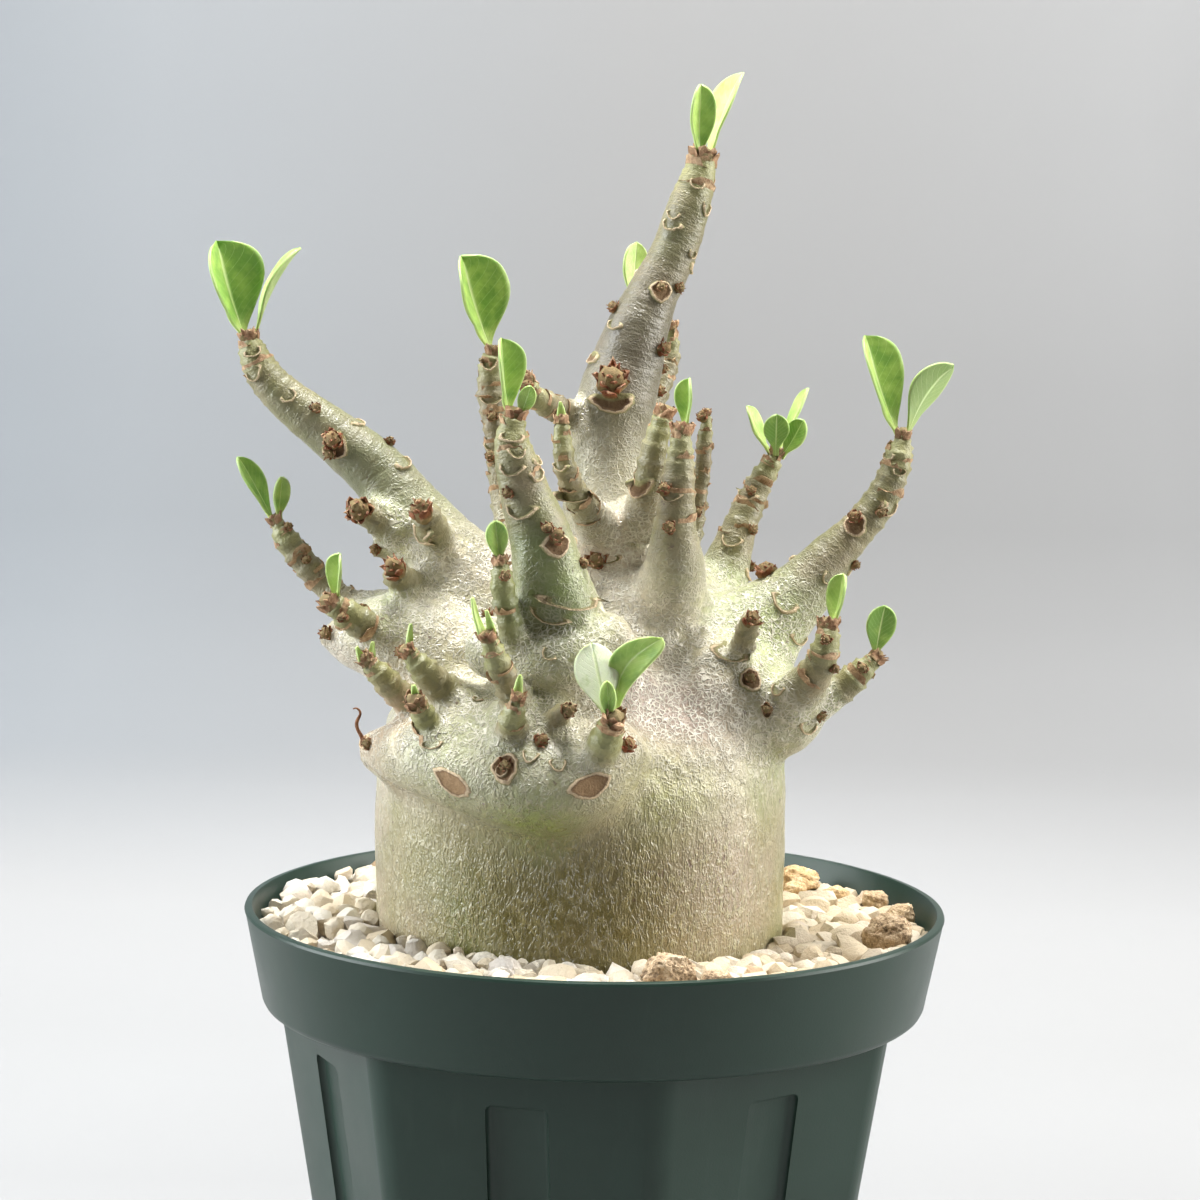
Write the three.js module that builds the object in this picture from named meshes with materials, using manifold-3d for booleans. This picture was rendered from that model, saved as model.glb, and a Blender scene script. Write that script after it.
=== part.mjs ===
// A potted desert rose: a swollen, many-branched stem with its leaves, set in potting mix
// under a white pumice dressing, in a seven-sided nursery pot.
// Millimetres, +Z up, origin under the middle of the pot. The viewer's side is -Y.
import * as THREE from 'three';
import { mergeVertices } from 'three/addons/utils/BufferGeometryUtils.js';
import Module from 'manifold-3d';

const wasm = await Module();
wasm.setup();

// Pot
const potHeight = 123;
const rimRadius = 75;
const rimFootRadius = 71;
const bandHeight = 21;
const rimSegments = 48;
const wall = 1.7;
const floorThickness = 2.4;
const sides = 7;
const cornerTurn = THREE.MathUtils.degToRad(11.6);
const cornerRadius = 3;
const postRadiusAtRim = 72.4;
const postTaper = 0.165;
const footEdge = 2.5;
const panelWidth = 13;
const panelDepth = 1.5;
const panelDrop = 8;
const panelFoot = 12;
const slitWidth = 3;
const slitHeight = 26;
const slitInnerRadius = 40;

// Filling
const gap = 0.3;
const mixTop = 113;
const gravelTop = 117.6;
const heapRise = 2.2;
const grainCount = 48;
const grainRadius = 5.6;

// Twigs: a branch with a thicker root than this is a limb with raised scars
const limbRadius = 7.5;
const jointSwelling = 1.16;

// Leaves
const bladeThickness = 0.7;
const stalkWidth = 1.3;

// Swollen body of the stem: height, centre x, centre y, half width, half depth
const body = [
  [80, -3, -6, 17, 17],
  [86, -3, -6, 31, 30],
  [96, -3, -7, 40, 39],
  [108, -3, -7, 43, 42.5],
  [126, -3.2, -7, 43.3, 43],
  [142, -3.4, -7, 43.6, 43],
  [153, -3.4, -7, 43.4, 42],
  [161, -3.2, -6, 42, 40],
  [169, -3, -4, 39.5, 36.5],
  [177, -2, -2, 36, 31],
  [185, 0, -1, 31, 25],
  [192, 1, -1, 25, 18.5],
  [199, 1.5, -1, 17, 13],
  [206, 1.5, -1, 10, 9],
];

// Limbs and branches: points along each with x, y, z and the radius there.
// turn is where the spiral of leaf scars starts, in degrees round from the viewer's side.
const branches = [
  { name: 'trunk', turn: 150, bare: 1, points: [
    [0, -6, 181, 16], [1.8, -4, 198, 12.5], [1.4, -3, 210, 9.7], [1.2, -2, 222, 7.9], [2.7, -1, 231, 8.4],
    [4.7, 0, 238, 7.8], [6.5, 0, 245, 6.9], [9.7, 1, 253, 5.7], [14, 2, 262, 5.1], [17.6, 3, 273, 4.6],
    [19.8, 4, 281, 3.3]] },
  { name: 'long_left', turn: 200, bare: 0.35, points: [
    [-14.4, -8, 182.9, 16.9], [-28.2, -7, 193.1, 11], [-39, -6, 204.7, 8.4], [-45.8, -5, 214, 6.6],
    [-54.8, -5, 221.7, 5.8], [-63.3, -5, 228, 4.9], [-69.8, -5, 233.5, 4.2], [-73, -5, 238.5, 3.5],
    [-74.3, -5, 242.4, 2.4]] },
  { name: 'left_low', turn: 40, bare: 0.5, points: [
    [-27, -15, 174, 15], [-38, -16, 180, 12.2], [-46.5, -15, 181.5, 9.2], [-53, -14, 181.3, 6],
    [-57, -14, 181.4, 2.6]] },
  { name: 'left_upper_twig', turn: 250, bare: 0.3, points: [
    [-44, -9, 186, 5.3], [-52.5, -7, 187.7, 3.4], [-58.5, -6, 191.7, 3.1], [-63.2, -6, 197, 3],
    [-67, -6, 202, 2.7], [-68.2, -6, 204.3, 1.8]] },
  { name: 'left_lower_twig', turn: 90, bare: 0.4, points: [
    [-41, -20, 182, 5], [-48, -25, 185.4, 3.6], [-52, -27, 188, 3.3], [-54.5, -28, 189.8, 2.5]] },
  { name: 'left_front_twig', turn: 300, bare: 0.4, points: [
    [-32, -24, 166, 6], [-40, -33, 172, 3.2], [-44, -36, 176.5, 2.8], [-46.6, -37, 179.4, 1.8]] },
  { name: 'left_inner_twig', turn: 20, bare: 0.4, points: [
    [-25, -29, 168, 6], [-31.7, -38, 174.5, 3.7], [-35.6, -41, 179, 2.8], [-38, -42, 182, 1.8]] },
  { name: 'left_stub', turn: 60, bare: 0.4, points: [
    [-29, -34, 158, 5.5], [-33.6, -43, 167.5, 3.1], [-36, -46.5, 172.4, 2.2]] },
  { name: 'horn', turn: 0, bare: 1, points: [
    [-25, -21, 150, 13], [-36, -26, 156, 8.4], [-43.3, -28, 159.3, 5.2], [-48.2, -29, 160.8, 1.8]] },
  { name: 'front_boss', turn: 0, bare: 1, points: [
    [-2, -24, 171, 18], [-7, -34, 164, 15.4], [-9.6, -41, 157.5, 12.6], [-9.5, -44.5, 152.5, 9],
    [-9, -45.5, 148.5, 4.5]] },
  { name: 'front_ledge', turn: 0, bare: 1, points: [
    [-37, -21, 166, 6], [-27, -34, 163, 10.5], [-15, -39, 162, 12], [-3, -41, 163, 10], [6, -37, 169, 4]] },
  { name: 'front_stem', turn: 130, bare: 0.25, points: [
    [-8, -29, 185, 10.5], [-8.8, -37, 191, 9], [-10.3, -39.5, 198.5, 7.5], [-12, -40, 205.5, 6.5],
    [-15, -41, 213.5, 5.3], [-17.2, -42, 221, 4.4], [-18.2, -42, 226, 3.4], [-17.8, -42, 229, 2.5]] },
  { name: 'inner_twig', turn: 80, bare: 0.25, points: [
    [1, -12, 203, 5], [-4.6, -27, 212.4, 2.9], [-7.5, -32, 219, 2.4], [-8.2, -32, 224.7, 2.2],
    [-8.3, -32, 228, 1.6]] },
  { name: 'curled_twig', turn: 200, bare: 0.3, points: [
    [1, 1, 219, 4.6], [-5.6, -4, 227, 3.3], [-10.4, -9, 230, 2.8], [-14, -12, 232, 2.5],
    [-15.8, -13, 235, 1.9]] },
  { name: 'back_left_stem', turn: 350, bare: 0.3, points: [
    [-12, 5, 188, 8], [-19.5, 12, 204, 4.1], [-21.4, 15, 212.6, 3.3], [-23, 16, 222.4, 3],
    [-24.4, 17, 231, 3], [-24.6, 17, 237.2, 2.7], [-24.2, 17, 239.6, 1.9]] },
  { name: 'right_inner_stem', turn: 240, bare: 0.3, points: [
    [8, -13, 205, 5.5], [9.7, -20, 215, 3.4], [10.6, -22, 222.4, 3], [12.3, -22, 229, 2.2]] },
  { name: 'right_front_stem', turn: 30, bare: 0.35, points: [
    [14, -14, 189, 9], [15.2, -23, 198, 6.6], [15, -27, 206.3, 4.7], [15.4, -28, 213.6, 3.8],
    [15.6, -28, 220.4, 3.1], [16, -28, 226, 2.2]] },
  { name: 'thin_twig', turn: 100, bare: 0.4, points: [
    [14, -13, 190, 4.2], [18.4, -17, 204, 2.6], [20.6, -18, 217, 1.8], [21.1, -18, 224.3, 1.8],
    [21.4, -18, 229.6, 1]] },
  { name: 'back_right_twig', turn: 10, bare: 0.3, points: [
    [6, 4, 222, 5], [11.4, 12, 232.5, 2.9], [14.2, 16, 240, 2.4], [14.2, 16, 246, 1.5]] },
  { name: 'back_trunk_twig', turn: 90, bare: 0.3, points: [
    [4, 4, 233, 4.4], [5, 12, 240, 2.6], [6, 16, 246.6, 2.1], [6.4, 17, 250, 1.6]] },
  { name: 'back_right_stem', turn: 330, bare: 0.3, points: [
    [22, 2, 183, 11], [26.3, 6, 194, 5.8], [30, 8, 204.6, 3.9], [33.2, 10, 211.8, 3.1], [36, 10, 217.2, 2.6],
    [37, 10, 219.4, 1.7]] },
  { name: 'big_right', turn: 20, bare: 0.35, points: [
    [25, -9, 177.5, 14], [36.4, -8, 186.6, 9.2], [42.8, -8, 192.8, 6.6], [48.6, -8, 200, 5],
    [53.8, -8, 205.4, 4.1], [58.3, -8, 211.2, 3.8], [60.9, -8, 217, 3.4], [62.2, -8, 221.8, 2.9],
    [62.6, -8, 224.6, 1.9]] },
  { name: 'right_limb', turn: 0, bare: 1, points: [
    [22, -15, 169, 18], [33, -17, 168.4, 13.8], [40, -20, 168.6, 9.2], [45.6, -22, 170.6, 4.4]] },
  { name: 'right_upper_twig', turn: 280, bare: 0.3, points: [
    [39, -24, 170, 5.6], [44.4, -31, 178.4, 3.7], [46, -33, 183.4, 3.1], [46.4, -33, 187.1, 2.2]] },
  { name: 'right_lower_twig', turn: 45, bare: 0.35, points: [
    [42, -20, 168.6, 5], [49.7, -23, 173.4, 3.4], [53.3, -24, 176.7, 3], [56.6, -24, 180, 1.9]] },
  { name: 'middle_twig', turn: 170, bare: 0.3, points: [
    [-13, -34, 175, 5.5], [-17, -44, 185, 2.8], [-18.5, -46, 191.4, 2.5], [-19.4, -47, 196.7, 2.6],
    [-19.7, -47, 200.6, 1.8]] },
  { name: 'low_middle_twig', turn: 290, bare: 0.3, points: [
    [-12, -38, 164, 5.5], [-17.2, -48, 175, 2.9], [-19.6, -52, 181, 2.8], [-21.6, -54, 186.5, 1.9]] },
  { name: 'short_front_twig', turn: 60, bare: 0.3, points: [
    [-15, -42, 158, 5.5], [-17, -52, 168.5, 3.1], [-16.6, -55, 172, 2.5], [-16, -56, 175, 1.6]] },
  { name: 'knob_twig', turn: 200, bare: 0.5, points: [
    [-11, -40, 165, 4.5], [-8, -50, 170.6, 2.5], [-5.2, -54, 173.5, 1.5]] },
  { name: 'front_right_twig', turn: 330, bare: 0.35, points: [
    [-5, -38, 150, 8], [-1.6, -49, 158, 5], [1, -55, 165.6, 3.8], [2.7, -58, 170.8, 2.8]] },
  { name: 'rear_left_limb', turn: 160, bare: 0.45, points: [
    [-18, 10, 164, 14], [-29, 24, 170, 8.5], [-36, 33, 176, 4.4], [-39, 38, 183, 3.2], [-40, 40, 189, 2]] },
  { name: 'rear_middle_limb', turn: 220, bare: 0.45, points: [
    [1, 14, 166, 14], [3, 31, 172, 8], [5, 40, 179, 4], [6.4, 44, 186, 3.1], [7, 45.5, 191, 2]] },
  { name: 'rear_right_limb', turn: 190, bare: 0.45, points: [
    [18, 8, 166, 14], [29, 21, 171, 8.5], [37, 29, 176, 4.5], [41, 33.5, 182, 3.3], [42, 35, 187, 2]] },
  { name: 'rear_boss', turn: 0, bare: 1, points: [
    [-4, 16, 156, 16], [-8, 32, 154, 11], [-10, 39, 152, 7]] },
];

// Closed scars and buds set by hand: branch, share of its length, degrees round from the viewer's side,
// width, and height off the bark
const marks = [
  ['trunk', 0.46, 0, 11, 1.4],
  ['trunk', 0.6, -58, 6, 1.2],
  ['trunk', 0.7, 12, 5.4, 1.2],
  ['trunk', 0.8, 62, 4.2, 1.2],
  ['trunk', 0.87, -28, 5.6, 1.1],
  ['trunk', 0.92, 52, 5.2, 1.3],
  ['trunk', 0.965, -62, 4.4, 1.1],
  ['trunk', 0.97, 20, 4.6, 1],
];
const buds = [
  ['trunk', 0.5, 0, 2.9],
  ['trunk', 0.57, 55, 1.8],
  ['trunk', 0.64, -50, 1.3],
  ['long_left', 0.5, 5, 2],
  ['long_left', 0.53, 178, 1.6],
  ['long_left', 0.66, 10, 2.1],
  ['long_left', 0.3, -40, 2.6],
  ['big_right', 0.26, -90, 2.4],
  ['big_right', 0.47, -100, 1.8],
];
// Round bud knobs on the body and limbs: root point, tip point and radius
const knobs = [
  [[-41, -11, 202], [-50.6, -14, 208.6], 2.8],
  [[-33, -13, 200], [-36.1, -21, 208.2], 3.1],
  [[-36, -14, 189], [-42.6, -21, 196], 3],
  [[-38, -8, 196], [-47.3, -10, 200], 1.8],
  [[29, -26, 181], [30.6, -31, 188.4], 2.3],
];

// Leaves: branch they stand on, steps from its tip to the right and to the back, tip of the blade,
// width, where the upper face looks in degrees round from the viewer's side, fold of each half, arch
const leaves = [
  ['trunk_front_leaf', 'trunk', -0.2, -1.3, [19.3, 0, 297.4], 7.5, 25, 38, 1],
  ['trunk_back_leaf', 'trunk', 1.4, 1.2, [28.1, 8, 300.6], 9.6, -62, 24, -0.6],
  ['long_left_leaf_wide', 'long_left', -0.8, -0.4, [-82.3, -6, 263.2], 17.4, 48, 46, 1],
  ['long_left_leaf_narrow', 'long_left', 1, 0.5, [-64.3, -3, 262.2], 7.6, -78, 25, -1.2],
  ['back_left_leaf', 'back_left_stem', 0, 0, [-31, 15, 260.8], 16, 48, 46, 1],
  ['front_stem_leaf', 'front_stem', -0.8, 0.2, [-20.4, -42, 245.3], 10, 45, 45, 0.8],
  ['front_stem_leaflet', 'front_stem', 1.3, -0.5, [-14.4, -44, 236], 3.6, 0, 15, 0.5],
  ['inner_twig_leaf', 'inner_twig', 0, 0, [-8.7, -32, 232.4], 2.6, 0, 20, 0.3],
  ['right_front_leaf', 'right_front_stem', 0.2, 0, [17.2, -27, 237.4], 6.4, -45, 45, 1],
  ['back_right_leaf_low', 'back_right_stem', -1.3, -0.1, [30.8, 7, 230], 5.4, 60, 20, 0.6],
  ['back_right_leaf_front', 'back_right_stem', 0.2, -1.4, [37, 5, 228.4], 5.6, 0, 12, 0.5],
  ['back_right_leaf_side', 'back_right_stem', 1.7, -0.2, [42.9, 7.6, 227.2], 5.6, -30, 20, 0.6],
  ['back_right_leaf_tall', 'back_right_stem', 0.1, 1.7, [44, 16, 233.8], 4.2, -65, 25, 0.6],
  ['big_right_leaf_wide', 'big_right', -0.7, -0.3, [54.4, -8, 246], 13, 42, 38, 1],
  ['big_right_leaf_side', 'big_right', 0.9, 0.3, [72.9, -6, 240.3], 9, -125, 15, -1],
  ['right_upper_leaf', 'right_upper_twig', 0.2, 0, [49.3, -31, 198.4], 6.4, -45, 40, 1],
  ['right_lower_leaf', 'right_lower_twig', 0.2, 0, [58.6, -24, 191.2], 6.4, 8, 12, 0.5],
  ['left_upper_leaf_long', 'left_upper_twig', -0.8, 0.3, [-76.6, -6, 218.2], 7, 62, 20, 0.6],
  ['left_upper_leaf_short', 'left_upper_twig', 0.6, -0.3, [-67.2, -7, 214.2], 4.6, 30, 35, 0.6],
  ['left_lower_leaf', 'left_lower_twig', 0, 0, [-53.4, -28, 200.4], 6.6, -45, 45, 1],
  ['left_front_leaf_a', 'left_front_twig', -1.1, 0, [-48.8, -38, 182.6], 2.4, 30, 20, 0.2],
  ['left_front_leaf_b', 'left_front_twig', 1, 0.1, [-45.8, -37, 183.6], 2.2, -20, 20, 0.2],
  ['left_inner_leaf', 'left_inner_twig', 0, 0, [-37.7, -42, 188], 2.8, 40, 30, 0.3],
  ['left_stub_leaf', 'left_stub', 0, 0, [-36.8, -48, 176.4], 2.6, 0, 25, 0.2],
  ['middle_twig_leaf', 'middle_twig', -0.3, 0, [-21, -47, 209.4], 4.8, 5, 25, 0.4],
  ['low_middle_leaf_a', 'low_middle_twig', -1, 0, [-25, -55, 195], 2.6, 40, 20, 0.6],
  ['low_middle_leaf_b', 'low_middle_twig', 1, -0.1, [-22.2, -56, 192.6], 2.3, 0, 20, 0.3],
  ['short_front_leaf', 'short_front_twig', 0, 0, [-15.4, -56, 180], 2.8, 0, 30, 0.3],
  ['front_right_leaf_pale', 'front_right_twig', -1.4, 0.6, [-1.6, -54, 186.2], 9, -165, 12, 0.8],
  ['front_right_leaf_green', 'front_right_twig', 1.3, 0.3, [12.3, -58, 188], 8.4, -12, 18, 2.6],
  ['front_right_bract', 'front_right_twig', -0.2, -1.3, [1.6, -60, 179.6], 3.4, 0, 25, 0.4],
  ['back_trunk_leaf', 'back_trunk_twig', 0, 0, [6.6, 19, 264.4], 6.4, 30, 12, 0.8],
  ['rear_left_leaf_a', 'rear_left_limb', -0.7, 0.2, [-50, 49, 199], 6.4, 100, 20, 1.4],
  ['rear_left_leaf_b', 'rear_left_limb', 0.7, 0.3, [-37, 53, 199.6], 5.4, 200, 20, 1],
  ['rear_middle_leaf_a', 'rear_middle_limb', -0.7, 0.2, [1, 57, 201], 6.4, 170, 22, 1.2],
  ['rear_middle_leaf_b', 'rear_middle_limb', 0.8, 0.2, [16, 56, 200], 5.2, 230, 20, 1],
  ['rear_right_leaf', 'rear_right_limb', 0.2, 0.3, [52, 45, 197], 6.6, 220, 22, 1.4],
];

// Brown and ochre stones on the dressing: x, y, z, half sizes and turn in degrees
const stones = [
  ['ochre_stone_large', 46.5, 44, 120.2, 5.4, 4.2, 3.4, 20, 0xdcb886],
  ['ochre_stone_small', 45, 34.5, 119.2, 3.6, 3.2, 2.2, 70, 0xe0c295],
  ['ochre_stone_flat', 54, 33, 119, 3.7, 3, 2, 10, 0xd9b98a],
  ['tan_stone_pointed', 62.3, 24, 119.2, 3, 3.4, 2.8, 45, 0xd3ad7d],
  ['tan_stone_round', 67.2, 12, 119, 3.4, 4, 2.8, 0, 0xc9a77c],
  ['grey_brown_stone', 61.5, -19, 121, 5.8, 5.6, 4.6, 30, 0xa98a66],
  ['front_brown_stone', 15, -59.5, 121.6, 6, 4.8, 4.4, 15, 0x9c7a55],
  ['front_brown_chip', 24.5, -60.5, 120.2, 3, 3.2, 2.8, 60, 0xa8865f],
];

const up = new THREE.Vector3(0, 0, 1);
const viewerSide = new THREE.Vector3(0, -1, 0);

function randomFrom(seed) {
  let state = seed;
  return () => {
    state = (state * 1664525 + 1013904223) % 4294967296;
    return state / 4294967296;
  };
}

// A closed geometry as a solid that can be joined and cut
function solid(geometry) {
  geometry.deleteAttribute('normal');
  geometry.deleteAttribute('uv');
  const merged = mergeVertices(geometry, 1e-4);
  return new wasm.Manifold(new wasm.Mesh({
    numProp: 3,
    vertProperties: new Float32Array(merged.attributes.position.array),
    triVerts: new Uint32Array(merged.index.array),
  }));
}

// The largest closed surface of a solid, with its sealed hollows filled and loose scraps left out
function onePiece(joined) {
  return joined.decompose().sort((a, b) => b.volume() - a.volume())[0];
}

function geometryOf(body3d) {
  const cut = body3d.getMesh();
  const geometry = new THREE.BufferGeometry();
  geometry.setAttribute('position', new THREE.BufferAttribute(new Float32Array(cut.vertProperties), 3));
  geometry.setIndex(new THREE.BufferAttribute(new Uint32Array(cut.triVerts), 1));
  geometry.computeVertexNormals();
  return geometry;
}

function node(name, geometry, color, roughness) {
  const material = new THREE.MeshStandardMaterial({ color, roughness, metalness: 0 });
  const mesh = new THREE.Mesh(geometry, material);
  mesh.name = name;
  return mesh;
}

// Moves every corner of a geometry to where place puts it
function shaped(geometry, place) {
  const position = geometry.attributes.position;
  const point = new THREE.Vector3();
  for (let i = 0; i < position.count; i += 1) {
    point.fromBufferAttribute(position, i);
    place(point);
    position.setXYZ(i, point.x, point.y, point.z);
  }
  return geometry;
}

function turned(profile, segments) {
  const outline = profile.map(([radius, height]) => new THREE.Vector2(radius, height));
  return new THREE.LatheGeometry(outline, segments).rotateX(Math.PI / 2);
}

// Pot

function postRadius(z) {
  return postRadiusAtRim - postTaper * (potHeight - z);
}

// Seven-sided post with rounded corners, its radius given at each height
function post(levels) {
  const outline = new THREE.Shape();
  const reach = cornerRadius / Math.cos(Math.PI / sides);
  for (let i = 0; i < sides; i += 1) {
    const middle = -Math.PI / 2 + cornerTurn + (i * 2 * Math.PI) / sides;
    const x = (levels[0][1] - reach) * Math.cos(middle);
    const y = (levels[0][1] - reach) * Math.sin(middle);
    outline.absarc(x, y, cornerRadius, middle - Math.PI / sides, middle + Math.PI / sides, false);
  }
  outline.closePath();
  const steps = levels.length - 1;
  const extrusion = new THREE.ExtrudeGeometry(outline, {
    depth: steps, steps, bevelEnabled: false, curveSegments: 2,
  });
  return shaped(extrusion, (point) => {
    const [height, radius] = levels[Math.round(point.z)];
    const scale = radius / levels[0][1];
    point.set(point.x * scale, point.y * scale, height);
  });
}

function rimRadiusAt(z) {
  return rimRadius - ((potHeight - z) * (rimRadius - rimFootRadius)) / bandHeight;
}

// Frame of one side face at a height: origin on the face, across, up the face, outwards
function sideFrame(index, z) {
  const around = cornerTurn + ((index + 0.5) * 2 * Math.PI) / sides;
  const flat = Math.cos(Math.PI / sides);
  const lean = Math.atan(postTaper * flat);
  const distance = postRadius(z) * flat;
  const across = new THREE.Vector3(Math.cos(around), Math.sin(around), 0);
  const level = new THREE.Vector3(Math.sin(around), -Math.cos(around), 0);
  const rise = level.clone().multiplyScalar(Math.sin(lean)).addScaledVector(up, Math.cos(lean));
  const out = level.clone().multiplyScalar(Math.cos(lean)).addScaledVector(up, -Math.sin(lean));
  const frame = new THREE.Matrix4().makeBasis(across, rise, out);
  return frame.setPosition(level.x * distance, level.y * distance, z);
}

// A panel pressed into a side face, round at its top corners
function panel(index, width, top, foot, inner, outer) {
  const half = width / 2;
  const corner = 3;
  const outline = new THREE.Shape();
  outline.moveTo(-half, foot);
  outline.lineTo(half, foot);
  outline.absarc(half - corner, top - corner, corner, 0, Math.PI / 2, false);
  outline.absarc(-half + corner, top - corner, corner, Math.PI / 2, Math.PI, false);
  outline.closePath();
  const block = new THREE.ExtrudeGeometry(outline, {
    depth: outer - inner, bevelEnabled: false, curveSegments: 2,
  });
  block.translate(0, 0, inner);
  return solid(block.applyMatrix4(sideFrame(index, 0)));
}

const bandFoot = potHeight - bandHeight;
const panelTop = bandFoot - panelDrop;

// The room inside the pot, kept clear of its wall by the amount given
function room(clear) {
  const inset = wall + clear;
  const neckFoot = bandFoot + inset;
  const neck = solid(turned([
    [0, neckFoot],
    [rimRadiusAt(neckFoot) - inset, neckFoot],
    [rimRadiusAt(potHeight + 12) - inset, potHeight + 12],
    [0, potHeight + 12],
  ], rimSegments));
  const floor = floorThickness + clear;
  const flatInset = inset / Math.cos(Math.PI / sides);
  let inside = solid(post([
    [floor, postRadius(floor) - flatInset - 1.5],
    [floor + 2, postRadius(floor + 2) - flatInset],
    [bandFoot + 4, postRadius(bandFoot + 4) - flatInset],
  ])).add(neck);
  for (let i = 0; i < sides; i += 1) {
    const back = -panelDepth - inset;
    inside = inside.subtract(panel(i, panelWidth + 2 * inset, panelTop + inset, panelFoot - inset, back, 2));
  }
  return inside;
}

function makePot() {
  const band = solid(turned([
    [0, bandFoot],
    [rimFootRadius - 1.6, bandFoot],
    [rimFootRadius - 0.5, bandFoot + 0.5],
    [rimRadiusAt(bandFoot + 1.6), bandFoot + 1.6],
    [rimRadius, potHeight - 0.4],
    [rimRadius - 0.4, potHeight],
    [0, potHeight],
  ], rimSegments));
  let pot = solid(post([
    [0, postRadius(0) - footEdge],
    [footEdge, postRadius(footEdge)],
    [bandFoot + 4, postRadius(bandFoot + 4)],
  ])).add(band);
  pot = pot.subtract(room(0));
  for (let i = 0; i < sides; i += 1) {
    pot = pot.subtract(panel(i, panelWidth, panelTop, panelFoot, -panelDepth, 3));
    const around = cornerTurn + ((i + 0.5) * 2 * Math.PI) / sides - Math.PI / 2;
    const slit = new THREE.BoxGeometry(40, slitWidth, slitHeight + 5);
    slit.translate(slitInnerRadius + 20, 0, slitHeight / 2 - 2.5).rotateZ(around);
    pot = pot.subtract(solid(slit));
  }
  return node('pot', geometryOf(pot), 0x46544d, 0.45);
}

// Stem

// Value between the rows of a table at a place counted in rows
function between(table, place, column) {
  const low = Math.min(Math.floor(place), table.length - 2);
  const share = place - low;
  return table[low][column] * (1 - share) + table[low + 1][column] * share;
}

// The swollen body, grown outwards by the amount given
function stemBody(grow) {
  const rings = body.length - 1;
  const shell = new THREE.CylinderGeometry(1, 1, rings, 24, rings).rotateX(Math.PI / 2);
  return solid(shaped(shell, (point) => {
    const [height, x, y, wide, deep] = body[Math.round(point.z + rings / 2)];
    const foot = height === body[0][0] ? -grow : 0;
    point.set(x + point.x * (wide + grow), y + point.y * (deep + grow), height + foot);
  }));
}

// Centre, radius and directions of a branch at a share of its length
function station(branch, share) {
  const route = new THREE.CatmullRomCurve3(branch.points.map(([x, y, z]) => new THREE.Vector3(x, y, z)));
  const along = route.getTangent(share);
  const front = viewerSide.clone().addScaledVector(along, -viewerSide.dot(along)).normalize();
  const right = new THREE.Vector3().crossVectors(along, front);
  const radius = between(branch.points, share * (branch.points.length - 1), 3);
  return { centre: route.getPoint(share), along, front, right, radius };
}

function outwards(place, degrees) {
  const angle = THREE.MathUtils.degToRad(degrees);
  return place.front.clone().multiplyScalar(Math.cos(angle)).addScaledVector(place.right, Math.sin(angle));
}

// A limb is a smooth tube, and a thin twig swells at each of its joints
function limb(branch) {
  const wide = branch.points[0][3] > limbRadius;
  const rings = wide ? branch.points.length + 1 : 2 * (branch.points.length - 1);
  const tube = new THREE.CylinderGeometry(1, 1, 1, wide ? 10 : 6, rings).rotateX(Math.PI / 2);
  return solid(shaped(tube, (point) => {
    const share = THREE.MathUtils.clamp(point.z + 0.5, 0, 1);
    const place = station(branch, share);
    const swelling = !wide && Math.round(share * rings) % 2 === 1 ? jointSwelling : 1;
    const { x, y } = point;
    point.copy(place.centre).addScaledVector(place.front, x * place.radius * swelling);
    point.addScaledVector(place.right, y * place.radius * swelling);
  }));
}

// A round lump with the given half sizes along three directions
function lump(centre, across, along, out, sizes, rings) {
  const ball = rings > 2 ? new THREE.SphereGeometry(1, 6, rings) : new THREE.OctahedronGeometry(1.15);
  ball.scale(sizes[0], sizes[1], sizes[2]);
  const frame = new THREE.Matrix4().makeBasis(across, along, out).setPosition(centre);
  return solid(ball.applyMatrix4(frame));
}

// Raised crescent left by a fallen leaf
function leafScar(branch, share, degrees, width, height) {
  const place = station(branch, share);
  const out = outwards(place, degrees);
  const across = new THREE.Vector3().crossVectors(place.along, out);
  const centre = place.centre.clone().addScaledVector(out, place.radius * 0.93);
  return lump(centre, across, place.along, out, [width / 2, width * 0.26, height], width > 6 ? 4 : 2);
}

function bud(branch, share, degrees, radius) {
  const place = station(branch, share);
  const out = outwards(place, degrees);
  const lean = out.clone().multiplyScalar(0.8).addScaledVector(place.along, 0.6).normalize();
  const across = new THREE.Vector3().crossVectors(place.along, lean).normalize();
  const along = new THREE.Vector3().crossVectors(lean, across);
  const centre = place.centre.clone().addScaledVector(out, place.radius + radius * 0.15);
  return lump(centre, across, along, lean, [radius, radius, radius * 1.15], 4);
}

// Leaf scars follow one another round the stem by the golden angle, closer together near the tip
function scarSpiral(branch) {
  const scars = [];
  const last = branch.points[branch.points.length - 1];
  const first = branch.points[0];
  const length = new THREE.Vector3(...last).distanceTo(new THREE.Vector3(...first));
  let share = branch.bare;
  let degrees = branch.turn;
  while (share < 0.95) {
    const { radius } = station(branch, share);
    scars.push(leafScar(branch, share, degrees, Math.min(1.5 * radius, 7), 0.22 * radius + 0.35));
    share += (1.7 * radius + 3.6) / length;
    degrees += 137.5;
  }
  return scars;
}

const branchNamed = Object.fromEntries(branches.map((branch) => [branch.name, branch]));

function makeStem() {
  const parts = [stemBody(0)];
  for (const branch of branches) {
    parts.push(limb(branch));
    if (branch.bare < 1 && branch.points[0][3] > limbRadius) {
      parts.push(...scarSpiral(branch));
    }
  }
  for (const [name, share, degrees, width, height] of marks) {
    parts.push(leafScar(branchNamed[name], share, degrees, width, height));
  }
  for (const [name, share, degrees, radius] of buds) {
    parts.push(bud(branchNamed[name], share, degrees, radius));
  }
  for (const [root, tip, radius] of knobs) {
    const knob = { points: [[...root, radius * 1.3], [...tip, radius]] };
    parts.push(limb(knob));
  }
  return onePiece(wasm.Manifold.union(parts));
}

// Leaves

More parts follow.
